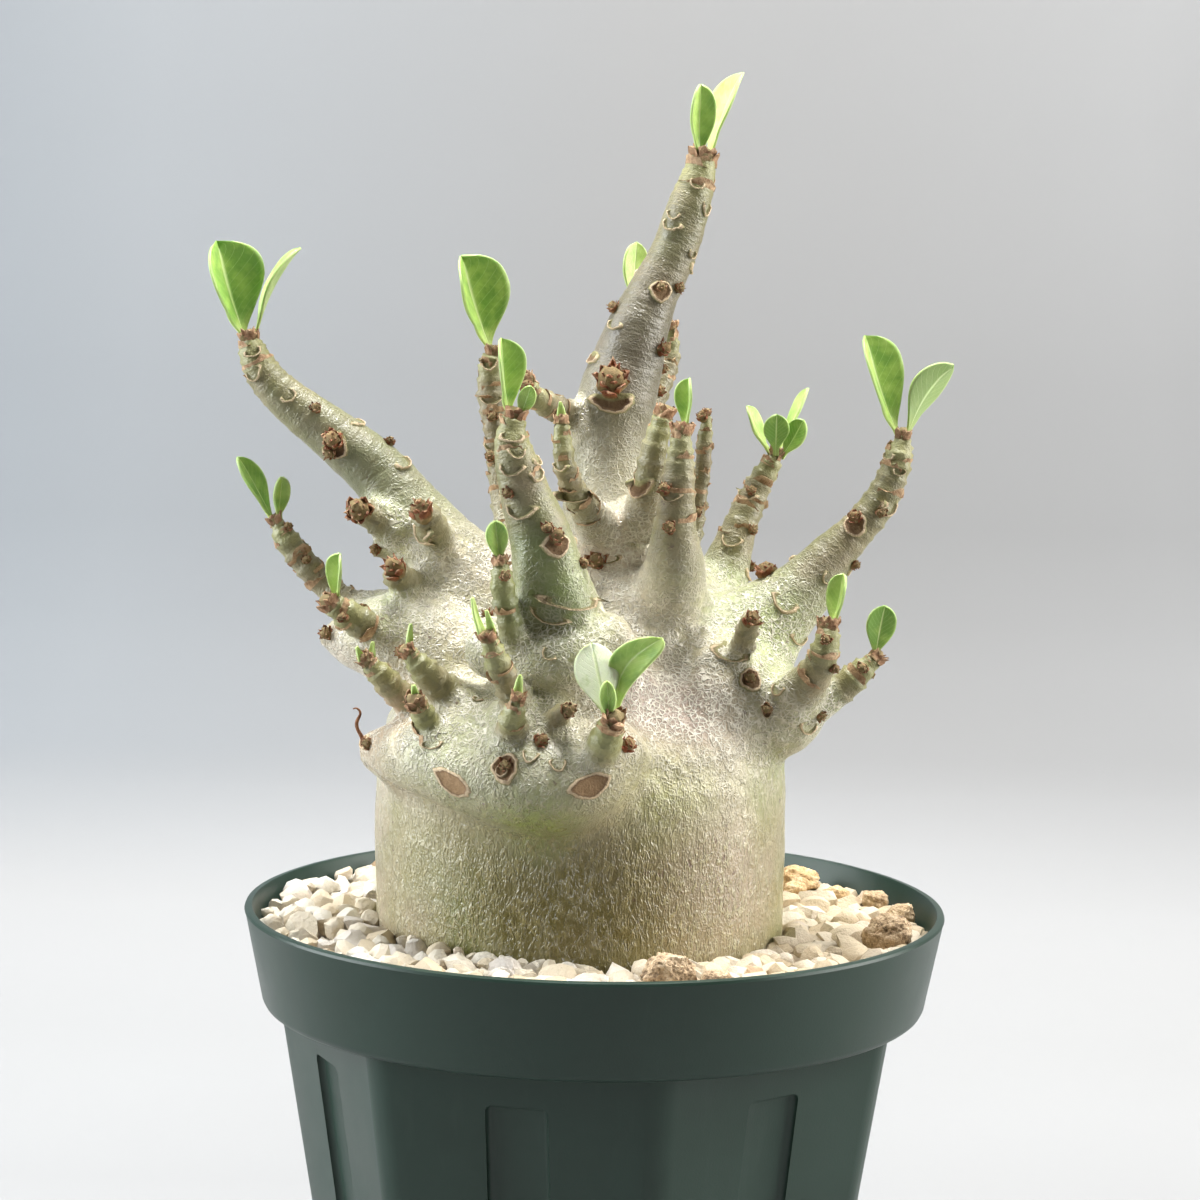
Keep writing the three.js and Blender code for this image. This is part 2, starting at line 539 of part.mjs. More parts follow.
// Half width of a blade at a share of its length: narrow stalk, broad above the middle, blunt tip
function halfWidth(share, width) {
  const blade = Math.sin(Math.PI * Math.min(share ** 1.35, 1)) ** 0.75;
  return Math.max(stalkWidth / 2, (blade * width) / 2);
}

function makeLeaf([name, branchName, right, back, tip, width, face, fold, arch]) {
  const points = branchNamed[branchName].points;
  const end = station(branchNamed[branchName], 1);
  const start = new THREE.Vector3(...points[points.length - 1].slice(0, 3));
  start.addScaledVector(end.along, gap + 0.45);
  start.addScaledVector(end.right, right).addScaledVector(end.front, -back);
  const along = new THREE.Vector3(...tip).sub(start);
  const length = along.length();
  along.normalize();
  const place = {
    front: viewerSide.clone().addScaledVector(along, -viewerSide.dot(along)).normalize(),
  };
  place.right = new THREE.Vector3().crossVectors(along, place.front);
  const normal = outwards(place, face);
  const across = new THREE.Vector3().crossVectors(along, normal);
  const halfFold = THREE.MathUtils.degToRad(fold);
  const wide = width > 4.5;
  const blade = new THREE.BoxGeometry(2, 1, 1, 2, wide ? 6 : 3, 1);
  shaped(blade, (point) => {
    const share = point.y + 0.5;
    const reach = halfWidth(share, width);
    const ramp = Math.min(1, share * 3);
    const side = point.x * reach;
    const depth = Math.abs(side) * Math.sin(halfFold) * ramp;
    const bow = arch * Math.sin(Math.PI * share);
    const level = depth - bow + point.z * bladeThickness;
    const lateral = side * (1 - ramp + ramp * Math.cos(halfFold));
    point.copy(start).addScaledVector(along, share * length);
    point.addScaledVector(across, lateral).addScaledVector(normal, level);
  });
  return node(name, geometryOf(solid(blade)), 0x86b04e, 0.5);
}

// Filling

function stoneSolid([, x, y, z, wide, deep, tall, turn], grow) {
  const random = randomFrom(Math.round(x * 7 + y * 13 + 900));
  const rough = new Map();
  const rock = new THREE.IcosahedronGeometry(1, 1);
  shaped(rock, (point) => {
    const key = `${point.x.toFixed(3)},${point.y.toFixed(3)},${point.z.toFixed(3)}`;
    if (!rough.has(key)) {
      rough.set(key, 0.86 + 0.22 * random());
    }
    point.multiplyScalar(rough.get(key) * grow);
  });
  rock.scale(wide, deep, tall).rotateZ(THREE.MathUtils.degToRad(turn)).translate(x, y, z);
  return solid(rock);
}

// Height of the dressing: heaped towards the stem on the left, lower at the right back
function dressingHeight(x, y) {
  const distance = Math.hypot(x, y) / rimRadius;
  const side = THREE.MathUtils.clamp(-x / rimRadius, -0.3, 1);
  return gravelTop + heapRise * (1 - distance) * 2 * (0.4 + side);
}

function makeDressing(hollows) {
  const random = randomFrom(4261);
  const foot = mixTop + gap;
  const bed = turned([[0, foot], [rimRadius, foot], [rimRadius, gravelTop], [0, gravelTop]], 24);
  const parts = [solid(bed)];
  const golden = Math.PI * (3 - Math.sqrt(5));
  const innerRadius = 40;
  const outerRadius = rimRadius - wall - 3;
  for (let i = 0; i < grainCount; i += 1) {
    const spread = Math.sqrt((i + 0.5) / grainCount);
    const radius = Math.sqrt(innerRadius ** 2 + (outerRadius ** 2 - innerRadius ** 2) * spread ** 2);
    const x = radius * Math.cos(i * golden);
    const y = radius * Math.sin(i * golden);
    const grain = new THREE.IcosahedronGeometry(grainRadius, 0);
    grain.scale(0.85 + 0.35 * random(), 0.75 + 0.3 * random(), 0.6 + 0.2 * random());
    grain.rotateX(random() * 0.9).rotateZ(random() * 2 * Math.PI);
    parts.push(solid(grain.translate(x, y, dressingHeight(x, y))));
  }
  let dressing = wasm.Manifold.union(parts).intersect(room(gap)).subtract(stemBody(gap));
  for (const hollow of hollows) {
    dressing = dressing.subtract(hollow);
  }
  return node('pumice_dressing', geometryOf(onePiece(dressing)), 0xe9e2d6, 0.9);
}

function makeMix() {
  const level = new THREE.BoxGeometry(4 * rimRadius, 4 * rimRadius, mixTop);
  const below = solid(level.translate(0, 0, mixTop / 2));
  const mix = room(gap).intersect(below).subtract(stemBody(2 * gap));
  return node('potting_mix', geometryOf(mix), 0x4a3a2c, 0.95);
}

const plant = new THREE.Group();
plant.add(makePot());
plant.add(makeMix());
plant.add(makeDressing(stones.map((stone) => stoneSolid(stone, 1.13))));
for (const stone of stones) {
  plant.add(node(stone[0], geometryOf(stoneSolid(stone, 1)), stone[8], 0.9));
}
plant.add(node('stem', geometryOf(makeStem()), 0xa9a488, 0.8));
for (const leaf of leaves) {
  plant.add(makeLeaf(leaf));
}

export default plant;
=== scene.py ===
import bpy
import math
import random
from contextlib import contextmanager
import numpy as np
from mathutils import Matrix, Vector, noise
from mathutils.bvhtree import BVHTree


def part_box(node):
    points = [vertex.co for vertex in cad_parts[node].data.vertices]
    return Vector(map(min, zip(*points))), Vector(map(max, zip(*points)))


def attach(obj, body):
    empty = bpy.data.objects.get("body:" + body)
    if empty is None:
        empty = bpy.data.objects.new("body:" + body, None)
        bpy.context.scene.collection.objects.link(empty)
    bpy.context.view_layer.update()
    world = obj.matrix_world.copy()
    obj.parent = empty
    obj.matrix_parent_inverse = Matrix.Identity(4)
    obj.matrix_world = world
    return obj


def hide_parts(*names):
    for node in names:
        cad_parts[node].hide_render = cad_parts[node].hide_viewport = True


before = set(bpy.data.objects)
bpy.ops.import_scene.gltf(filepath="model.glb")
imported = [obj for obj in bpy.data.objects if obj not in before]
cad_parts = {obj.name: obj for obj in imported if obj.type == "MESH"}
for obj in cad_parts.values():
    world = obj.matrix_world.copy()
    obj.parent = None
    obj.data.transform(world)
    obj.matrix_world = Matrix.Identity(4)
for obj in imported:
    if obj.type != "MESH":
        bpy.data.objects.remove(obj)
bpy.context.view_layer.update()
bpy.ops.object.select_all(action="DESELECT")

# The camera stands about 0.7 m in front of the pot, a hand's breadth above its rim, and looks slightly
# down. Its lens and tilt come from the ellipse of the rim and the run of the pot's sides.
MM = 0.001
photo_width = 1200
focal_pixels = 3236.3
sensor_width = 36
rim_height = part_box("pot")[1].z
camera_place = Vector((0, -684.9, 144.7)) * MM + Vector((0, 0, rim_height))
look_down = math.radians(6.59)
camera_roll = math.radians(1.004)
bpy.ops.object.camera_add(location=camera_place)
camera = bpy.context.object
aim = Matrix.Rotation(math.pi / 2 - look_down, 4, "X") @ Matrix.Rotation(camera_roll, 4, "Z")
camera.matrix_world = Matrix.Translation(camera_place) @ aim
camera.data.lens = sensor_width * focal_pixels / photo_width
camera.data.sensor_width = sensor_width
bpy.context.scene.camera = camera


def sight_line(across, down):
    """Direction from the camera through a point of the photograph, in its 1200 pixel frame."""
    half = photo_width / 2
    ray = Vector(((across - half) / focal_pixels, (half - down) / focal_pixels, -1))
    return (aim.to_3x3() @ ray).normalized()


# The pot is one moulding of dark green plastic: a seven-sided tapering body with a shallow panel pressed
# into each side and drain slits at its foot, and above it a wide round band with a thin lip.
rim_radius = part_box("pot")[1].x
band_height = 21 * MM
band_foot = rim_height - band_height
band_foot_radius = 71 * MM
wall = 1.7 * MM
floor_thickness = 2.4 * MM
pot_sides = 7
corner_turn = math.radians(11.6)
post_radius_at_rim = 72.4 * MM
post_taper = 0.165
panel_size = Vector((13 * MM, 82 * MM))
panel_depth = 1.5 * MM
panel_top = band_foot - 8 * MM
slit_size = (40 * MM, 3 * MM, 31 * MM)
slit_middle = 10.5 * MM


def only(piece):
    """Makes a piece the one selected and active object."""
    bpy.ops.object.select_all(action="DESELECT")
    piece.select_set(True)
    bpy.context.view_layer.objects.active = piece
    return piece


def apply_modifier(piece, kind, **settings):
    only(piece)
    bpy.ops.object.modifier_add(type=kind)
    modifier = piece.modifiers[-1]
    for key, value in settings.items():
        setattr(modifier, key, value)
    bpy.ops.object.modifier_apply(modifier=modifier.name)


def settle(piece):
    """Moves a piece's place into its mesh, so that its object sits at the origin."""
    only(piece)
    bpy.ops.object.transform_apply(location=True, rotation=True, scale=True)


def post_radius(height):
    return post_radius_at_rim - post_taper * (rim_height - height)


@contextmanager
def editing(piece):
    """Edit mode on a piece with all of it selected."""
    only(piece)
    bpy.ops.object.mode_set(mode="EDIT")
    bpy.ops.mesh.select_all(action="SELECT")
    yield
    bpy.ops.object.mode_set(mode="OBJECT")


def bevel_edges(piece, chosen, offset, segments):
    """Bevels the edges that are chosen by the heights of their two ends."""
    mesh = piece.data
    with editing(piece):
        bpy.ops.mesh.select_mode(type="EDGE")
        bpy.ops.mesh.select_all(action="DESELECT")
    for edge in mesh.edges:
        edge.select = chosen(*(mesh.vertices[i].co.z for i in edge.vertices))
    bpy.ops.object.mode_set(mode="EDIT")
    bpy.ops.mesh.bevel(offset=offset, segments=segments, affect="EDGES")
    bpy.ops.object.mode_set(mode="OBJECT")


def seven_sided_post(foot, top, inset, corner, foot_edge):
    """A tapering post with rounded corners, set in by the wall's thickness where it is the room inside."""
    bpy.ops.mesh.primitive_cylinder_add(vertices=pot_sides, radius=1, depth=1)
    piece = bpy.context.object
    lead = piece.data.vertices[0].co
    turn = -math.pi / 2 + corner_turn - math.atan2(lead.y, lead.x)
    flat_inset = inset / math.cos(math.pi / pot_sides)
    for vertex in piece.data.vertices:
        height = top if vertex.co.z > 0 else foot
        radius = post_radius(height) - flat_inset
        angle = math.atan2(vertex.co.y, vertex.co.x) + turn
        vertex.co = (radius * math.cos(angle), radius * math.sin(angle), height)
    bevel_edges(piece, lambda one, other: abs(one - other) > 1e-4, corner, 5)
    bevel_edges(piece, lambda one, other: max(abs(one - foot), abs(other - foot)) < 1e-5, foot_edge, 3)
    return piece


def turned(profile, steps=144):
    """A profile of radius and height spun round the pot's axis."""
    bpy.ops.mesh.primitive_circle_add(vertices=len(profile), radius=1)
    piece = bpy.context.object
    for vertex, (radius, height) in zip(piece.data.vertices, profile):
        vertex.co = (radius, 0, height)
    apply_modifier(piece, "SCREW", steps=steps, render_steps=steps, use_merge_vertices=True,
                   merge_threshold=1e-5)
    with editing(piece):
        bpy.ops.mesh.remove_doubles(threshold=1e-6)
        bpy.ops.mesh.normals_make_consistent(inside=False)
    return piece


def side_turn(index):
    """The way round to the middle of one of the pot's sides, from the viewer's side."""
    return corner_turn + (index + 0.5) * 2 * math.pi / pot_sides


def side_block(index, size, low, high):
    """A block on one side of the pot between two depths, for a pressed panel or the room behind it."""
    bpy.ops.mesh.primitive_cube_add(size=1, scale=(size[0], size[1], high - low))
    piece = bpy.context.object
    settle(piece)
    apply_modifier(piece, "BEVEL", width=1.4 * MM, segments=3, limit_method="ANGLE")
    lean = math.atan(post_taper * math.cos(math.pi / pot_sides))
    middle = panel_top - panel_size.y / 2
    out = post_radius(middle) * math.cos(math.pi / pot_sides) + (low + high) / 2
    upright = Matrix.Rotation(math.pi / 2 + lean, 4, "X")
    turn = Matrix.Rotation(side_turn(index), 4, "Z")
    piece.data.transform(turn @ Matrix.Translation((0, -out, middle)) @ upright)
    return piece


def cut(piece, tool, operation="DIFFERENCE"):
    apply_modifier(piece, "BOOLEAN", object=tool, operation=operation, solver="EXACT")
    bpy.data.objects.remove(tool)


post_top = band_foot + 4 * MM
band = turned([
    (0, band_foot), (band_foot_radius - 1.7 * MM, band_foot),
    (band_foot_radius - 0.9 * MM, band_foot + 0.15 * MM),
    (band_foot_radius - 0.3 * MM, band_foot + 0.6 * MM),
    (band_foot_radius + 0.2 * MM, band_foot + 1.6 * MM), (rim_radius - 0.25 * MM, rim_height - 1.5 * MM),
    (rim_radius, rim_height - 0.75 * MM), (rim_radius - 0.2 * MM, rim_height - 0.2 * MM),
    (rim_radius - 0.7 * MM, rim_height), (0, rim_height),
])
pot = seven_sided_post(0, post_top, 0, 3.4 * MM, 2 * MM)
cut(pot, band, "UNION")
mouth_radius = rim_radius - wall + 0.3 * MM
room_neck = turned([
    (0, band_foot + wall), (band_foot_radius - wall, band_foot + wall),
    (mouth_radius - 0.6 * MM, rim_height - 0.6 * MM), (mouth_radius, rim_height + 0.2 * MM),
    (mouth_radius, rim_height + 9 * MM), (0, rim_height + 9 * MM),
])
room = seven_sided_post(floor_thickness, post_top, wall, 2.6 * MM, 2 * MM)
cut(room, room_neck, "UNION")
for side in range(pot_sides):
    grown = panel_size + Vector((2 * wall, 2 * wall))
    cut(room, side_block(side, grown, -panel_depth - wall, 3 * MM))
cut(pot, room)
for side in range(pot_sides):
    cut(pot, side_block(side, panel_size, -panel_depth, 5 * MM))
    bpy.ops.mesh.primitive_cube_add(size=1, scale=slit_size)
    slit = bpy.context.object
    settle(slit)
    around = Matrix.Rotation(side_turn(side) - math.pi / 2, 4, "Z")
    slit.data.transform(around @ Matrix.Translation((60 * MM, 0, slit_middle)))
    cut(pot, slit)
pot.name = "pot_moulding"
only(pot)
bpy.ops.object.shade_smooth_by_angle(angle=math.radians(32))


def surface(name, **settings):
    """A new material and its shader, with plain values set on the shader."""
    material = bpy.data.materials.new(name)
    material.use_nodes = True
    shader = material.node_tree.nodes["Principled BSDF"]
    for key, value in settings.items():
        shader.inputs[key.replace("_", " ")].default_value = value
    return material, shader


def feed(socket, value):
    """Sets an input: wired where another node's output is given, plain where a number or colour is."""
    if isinstance(value, bpy.types.NodeSocket):
        socket.id_data.links.new(value, socket)
    elif socket.type == "RGBA":
        socket.default_value = (*value, 1)
    else:
        socket.default_value = value


def wired(kind, inputs, **settings):
    """A new node with its settings and inputs, in the material that its wired inputs belong to."""
    source = next(value for value in inputs.values() if isinstance(value, bpy.types.NodeSocket))
    node = source.id_data.nodes.new(kind)
    for key, value in settings.items():
        setattr(node, key, value)
    for key, value in inputs.items():
        feed(node.inputs[key], value)
    return node


def pattern(vector, scale, detail=3, rough=0.55):
    """A procedural pattern read at a place on the piece."""
    inputs = {"Vector": vector, "Scale": scale, "Detail": detail, "Roughness": rough}
    return wired("ShaderNodeTexNoise", inputs).outputs[0]


def stretched(vector, scale):
    return wired("ShaderNodeMapping", {"Vector": vector, "Scale": scale}).outputs[0]


def tones(value, *stops):
    """Colours along a value, given as pairs of place and colour."""
    node = wired("ShaderNodeValToRGB", {0: value})
    elements = node.color_ramp.elements
    while len(elements) < len(stops):
        elements.new(0.5)
    for element, (place, color) in zip(elements, stops):
        element.position = place
        element.color = (*color, 1)
    return node.outputs[0]


def between(value, low, high, start=0, end=1):
    """Turns the stretch from low to high of a value into one from start to end."""
    inputs = {"Value": value, "From Min": low, "From Max": high, "To Min": start, "To Max": end}
    return wired("ShaderNodeMapRange", inputs).outputs[0]


def layered(share, under, over):
    """One colour laid over another by a share."""
    return wired("ShaderNodeMix", {0: share, 6: under, 7: over}, data_type="RGBA").outputs[2]


def relief(shader, height, depth, strength=1):
    """A bump on the shader's normal, its depth in metres."""
    bump = wired("ShaderNodeBump", {"Height": height, "Strength": strength, "Distance": depth})
    feed(shader.inputs["Normal"], bump.outputs[0])


def place_on_piece(shader):
    return shader.id_data.nodes.new("ShaderNodeTexCoord").outputs["Object"]


def dress(piece, *materials):
    """Puts materials on a piece in place of any that it has."""
    piece.data.materials.clear()
    for material in materials:
        piece.data.materials.append(material)


plastic, shader = surface("dark_green_plastic", IOR=1.47, Specular_IOR_Level=0.4)
spot = place_on_piece(shader)
cloudy = pattern(spot, 38, 4)
grainy = pattern(spot, 2600, 2)
streaks = pattern(stretched(spot, (1, 1, 0.08)), 210, 3)
green = tones(cloudy, (0.3, (0.013, 0.031, 0.021)), (0.7, (0.018, 0.040, 0.029)))
dusty = between(streaks, 0.62, 0.85, 0, 0.14)
feed(shader.inputs["Base Color"], layered(dusty, green, (0.06, 0.085, 0.07)))
feed(shader.inputs["Roughness"], between(cloudy, 0.3, 0.7, 0.34, 0.44))
relief(shader, grainy, 0.06 * MM, 0.35)
dress(pot, plastic)
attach(pot, "root")
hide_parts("pot")


# The potting mix fills the pot under the dressing. It is bark crumb and peat, seen only through the
# drain slits, so the solid keeps its shape and takes a crumbly dark finish.
def maths(operation, first, second=0):
    return wired("ShaderNodeMath", {0: first, 1: second}, operation=operation).outputs[0]


def plus(first, second):
    return maths("ADD", first, second)


soil, shader = surface("dark_potting_mix", Roughness=0.95)
spot = place_on_piece(shader)
crumbs = pattern(spot, 420, 5, 0.7)
flecks = pattern(spot, 1300, 2)
brown = tones(crumbs, (0.3, (0.012, 0.008, 0.005)), (0.55, (0.05, 0.031, 0.018)),
              (0.75, (0.13, 0.085, 0.05)))
feed(shader.inputs["Base Color"], brown)
relief(shader, plus(crumbs, flecks), 1.2 * MM, 0.8)
for slot_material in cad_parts["potting_mix"].material_slots:
    slot_material.material = soil


# The stem grew as one piece: a swollen body and limbs that narrow to twigs. Each limb follows a route of
# points with x, y, z and radius in millimetres. They are grown as round tubes, fused in one skin,
# filleted where they meet, and the skin is then wrinkled and jointed.
body_rings = [
    (104, -3, -7, 43, 42.5), (126, -3.2, -7, 43.3, 42.2), (142, -3.4, -7, 43.6, 41),
    (153, -3.4, -7, 43.2, 41), (161, -3.2, -6, 42, 40), (169, -3, -4, 39.5, 36.5), (177, -2, -2, 36, 31),
    (185, 0, -1, 31, 25), (192, 1, -1, 25, 18.5), (199, 1.5, -1, 17, 13), (206, 1.5, -1, 10, 9),
]
limbs = {
    "trunk": [
        (0, -6, 181, 16), (1.8, -4, 198, 12.5), (1.4, -3, 210, 9.7), (1.2, -2, 222, 7.9),
        (2.7, -1, 231, 8.4), (4.7, 0, 238, 7.8), (6.5, 0, 245, 6.9), (9.7, 1, 253, 5.7), (14, 2, 262, 5.1),
        (17.6, 3, 273, 4.6), (19.8, 4, 281, 3.3)],
    "long_left": [
        (-14.4, -8, 182.9, 16.9), (-28.2, -7, 193.1, 11), (-39, -6, 204.7, 8.4), (-45.8, -5, 214, 6.6),
        (-54.8, -5, 221.7, 5.8), (-63.3, -5, 228, 4.9), (-69.8, -5, 233.5, 4.2), (-73, -5, 238.5, 3.5),
        (-74.3, -5, 242.4, 2.4)],
    "left_low": [
        (-27, -15, 174, 15), (-38, -16, 180, 12.2), (-46.5, -15, 181.5, 9.2), (-53, -14, 181.3, 6),
        (-57, -14, 181.4, 2.6)],
    "left_upper_twig": [
        (-44, -9, 186, 5.3), (-52.5, -7, 187.7, 3.4), (-58.5, -6, 191.7, 3.1), (-63.2, -6, 197, 3),
        (-67, -6, 202, 2.7), (-68.2, -6, 204.3, 1.8)],
    "left_lower_twig": [
        (-41, -20, 182, 5), (-48, -25, 185.4, 3.6), (-52, -27, 188, 3.3), (-54.5, -28, 189.8, 2.5)],
    "left_front_twig": [
        (-32, -24, 166, 6), (-40, -33, 172, 3.2), (-44, -36, 176.5, 2.8), (-46.6, -37, 179.4, 1.8)],
    "left_inner_twig": [
        (-25, -29, 168, 6), (-31.7, -38, 174.5, 3.7), (-35.6, -41, 179, 2.8), (-38, -42, 182, 1.8)],
    "left_stub": [(-29, -34, 158, 5.5), (-33.6, -43, 167.5, 3.1), (-36, -46.5, 172.4, 2.2)],
    "horn": [(-25, -21, 150, 13), (-36, -26, 156, 8.4), (-43.3, -28, 159.3, 5.2), (-48.2, -29, 160.8, 1.8)],
    "front_boss": [(-2, -24, 171, 18), (-7, -34, 165, 15), (-9.6, -40, 160, 12.6), (-9.6, -43, 158.5, 11)],
    "front_ledge": [
        (-37, -21, 166, 6), (-27, -34, 163, 10.5), (-15, -39, 162, 12), (-3, -41, 163, 10),
        (6, -37, 169, 4)],
    "under_ledge": [
        (-46, -26, 159.4, 4.5), (-38, -35, 160.4, 7), (-31, -41, 159.6, 7.8), (-24, -45, 158.2, 8.6),
        (-16, -47.5, 157.4, 9.8), (-9, -48, 157.2, 10.2), (-2, -47.6, 159.2, 9.4), (4, -45, 164.5, 7.6)],
    "front_stem": [
        (-8, -29, 185, 10.5), (-8.8, -37, 191, 9), (-10.3, -39.5, 198.5, 7.5), (-12, -40, 205.5, 6.5),
        (-15, -41, 213.5, 5.3), (-17.2, -42, 221, 4.4), (-18.2, -42, 226, 3.4), (-17.8, -42, 229, 2.5)],
    "inner_twig": [
        (1, -12, 203, 5), (-4.6, -27, 212.4, 2.9), (-7.5, -32, 219, 2.4), (-8.2, -32, 224.7, 2.2),
        (-8.3, -32, 228, 1.6)],
    "curled_twig": [
        (1, 1, 219, 4.6), (-5.6, -4, 227, 3.3), (-10.4, -9, 230, 2.8), (-14, -12, 232, 2.5),
        (-15.8, -13, 235, 1.9)],
    "back_left_stem": [
        (-12, 5, 188, 8), (-19.5, 12, 204, 4.1), (-21.4, 15, 212.6, 3.3), (-23, 16, 222.4, 3),
        (-24.4, 17, 231, 3), (-24.6, 17, 237.2, 2.7), (-24.2, 17, 239.6, 1.9)],
    "right_inner_stem": [
        (8, -13, 205, 5.5), (9.7, -20, 215, 3.4), (10.6, -22, 222.4, 3), (12.3, -22, 229, 2.2)],
    "right_front_stem": [
        (14, -14, 189, 9), (15.2, -23, 198, 6.6), (15, -27, 206.3, 4.7), (15.4, -28, 213.6, 3.8),
        (15.6, -28, 220.4, 3.1), (16, -28, 226, 2.2)],
    "thin_twig": [
        (14, -13, 190, 4.2), (18.4, -17, 204, 2.6), (20.6, -18, 217, 1.8), (21.1, -18, 224.3, 1.8),
        (21.4, -18, 229.6, 1)],
    "back_right_twig": [(6, 4, 222, 5), (11.4, 12, 232.5, 2.9), (14.2, 16, 240, 2.4), (14.2, 16, 246, 1.5)],
    "back_trunk_twig": [(4, 4, 233, 4.4), (5, 12, 240, 2.6), (6, 16, 246.6, 2.1), (6.4, 17, 250, 1.6)],
    "back_right_stem": [
        (22, 2, 183, 11), (26.3, 6, 194, 5.8), (30, 8, 204.6, 3.9), (33.2, 10, 211.8, 3.1),
        (36, 10, 217.2, 2.6), (37, 10, 219.4, 1.7)],
    "big_right": [
        (25, -9, 177.5, 14), (36.4, -8, 186.6, 9.2), (42.8, -8, 192.8, 6.6), (48.6, -8, 200, 5),
        (53.8, -8, 205.4, 4.1), (58.3, -8, 211.2, 3.8), (60.9, -8, 217, 3.4), (62.2, -8, 221.8, 2.9),
        (62.6, -8, 224.6, 1.9)],
    "right_limb": [
        (22, -15, 169, 18), (33, -17, 168.4, 13.8), (40, -20, 168.6, 9.2), (45.6, -22, 170.6, 4.4)],
    "right_upper_twig": [
        (39, -24, 170, 5.6), (44.4, -31, 178.4, 3.7), (46, -33, 183.4, 3.1), (46.4, -33, 187.1, 2.2)],
    "right_lower_twig": [
        (42, -20, 168.6, 5), (49.7, -23, 173.4, 3.4), (53.3, -24, 176.7, 3), (56.6, -24, 180, 1.9)],
    "middle_twig": [
        (-13, -34, 175, 5.5), (-17, -44, 185, 2.8), (-18.5, -46, 191.4, 2.5), (-19.4, -47, 196.7, 2.6),
        (-19.7, -47, 200.6, 1.8)],
    "low_middle_twig": [
        (-12, -38, 164, 5.5), (-17.2, -48, 175, 2.9), (-19.6, -52, 181, 2.8), (-21.6, -54, 186.5, 1.9)],
    "short_front_twig": [
        (-15, -42, 158, 5.5), (-17, -52, 168.5, 3.1), (-16.6, -55, 172, 2.5), (-16, -56, 175, 1.6)],
    "knob_twig": [(-11, -40, 165, 4.5), (-8, -50, 170.6, 2.5), (-5.2, -54, 173.5, 1.5)],
    "front_right_twig": [
        (-5, -38, 150, 8), (-1.6, -49, 158, 5), (1, -55, 165.6, 3.8), (2.7, -58, 170.8, 2.8)],
    "rear_left_limb": [
        (-18, 10, 164, 14), (-29, 24, 170, 8.5), (-36, 33, 176, 4.4), (-39, 38, 183, 3.2),
        (-40, 40, 189, 2)],
    "rear_middle_limb": [
        (1, 14, 166, 14), (3, 31, 172, 8), (5, 40, 179, 4), (6.4, 44, 186, 3.1), (7, 45.5, 191, 2)],
    "rear_right_limb": [
        (18, 8, 166, 14), (29, 21, 171, 8.5), (37, 29, 176, 4.5), (41, 33.5, 182, 3.3), (42, 35, 187, 2)],
    "rear_boss": [(-4, 16, 156, 16), (-8, 32, 154, 11), (-10, 39, 152, 7)],
    "knob_outer_left": [(-41, -11, 202, 3.6), (-50.6, -14, 208.6, 2.8)],
    "knob_left": [(-33, -13, 200, 4), (-36.1, -21, 208.2, 3.1)],
    "knob_low_left": [(-36, -14, 189, 3.9), (-42.6, -21, 196, 3)],
    "knob_small_left": [(-38, -8, 196, 2.3), (-47.3, -10, 200, 1.8)],
    "knob_right": [(29, -26, 181, 3), (30.6, -31, 188.4, 2.3)],
    "shoulder_ridge": [
        (-23, -32, 182.5, 6.5), (-16, -39, 182, 6.5), (-7, -42.5, 181.5, 6.5), (3, -38.5, 184.5, 6.5)],
}
skin_cell = 0.78 * MM


def smooth_route(points, step=0.8):
    """A smooth line through the points, with its radius, sampled every step."""
    knots = np.array(points, float)
    knots = np.vstack([2 * knots[0] - knots[1], knots, 2 * knots[-1] - knots[-2]])
    rows = []
    for i in range(1, len(knots) - 2):
        a, b, c, d = knots[i - 1:i + 3]
        count = max(2, int(np.linalg.norm(c[:3] - b[:3]) / step))
        t = np.linspace(0, 1, count, endpoint=False)[:, None]
        rows.append(0.5 * (2 * b + (c - a) * t + (2 * a - 5 * b + 4 * c - d) * t ** 2
                           + (3 * b - a - 3 * c + d) * t ** 3))
    rows.append(knots[-2:-1])
    return np.vstack(rows)


routes = {name: smooth_route(points) for name, points in limbs.items()}


def round_curve(radius, resolution):
    """A curve still without lines, which will get a round section and closed ends."""
    bpy.ops.curve.primitive_nurbs_path_add()
    curve = bpy.context.object
    curve.data.splines.clear()
    curve.data.bevel_depth = radius
    curve.data.bevel_resolution = resolution
    curve.data.use_fill_caps = True
    return curve


tubes = round_curve(MM, 6)
for route in routes.values():
    along = route[-1, :3] - route[-3, :3]
    along /= np.linalg.norm(along)
    radius = route[-1, 3]
    crown = [np.append(route[-1, :3] + along * radius * rise, radius * width)
             for rise, width in ((0.25, 0.93), (0.45, 0.75), (0.56, 0.4))]
    line = np.vstack([route, crown])
    spline = tubes.data.splines.new("POLY")
    spline.points.add(len(line) - 1)
    for point, (x, y, z, radius) in zip(spline.points, line):
        point.co = (x * MM, y * MM, z * MM, 1)
        point.radius = radius
only(tubes)
bpy.ops.object.convert(target="MESH")
tubes = bpy.context.object

rings = np.array(body_rings, float)


def body_at(height):
    """The body's middle and its half widths across and deep at a height, all in millimetres."""
    return (np.interp(height, rings[:, 0], rings[:, i]) for i in range(1, 5))


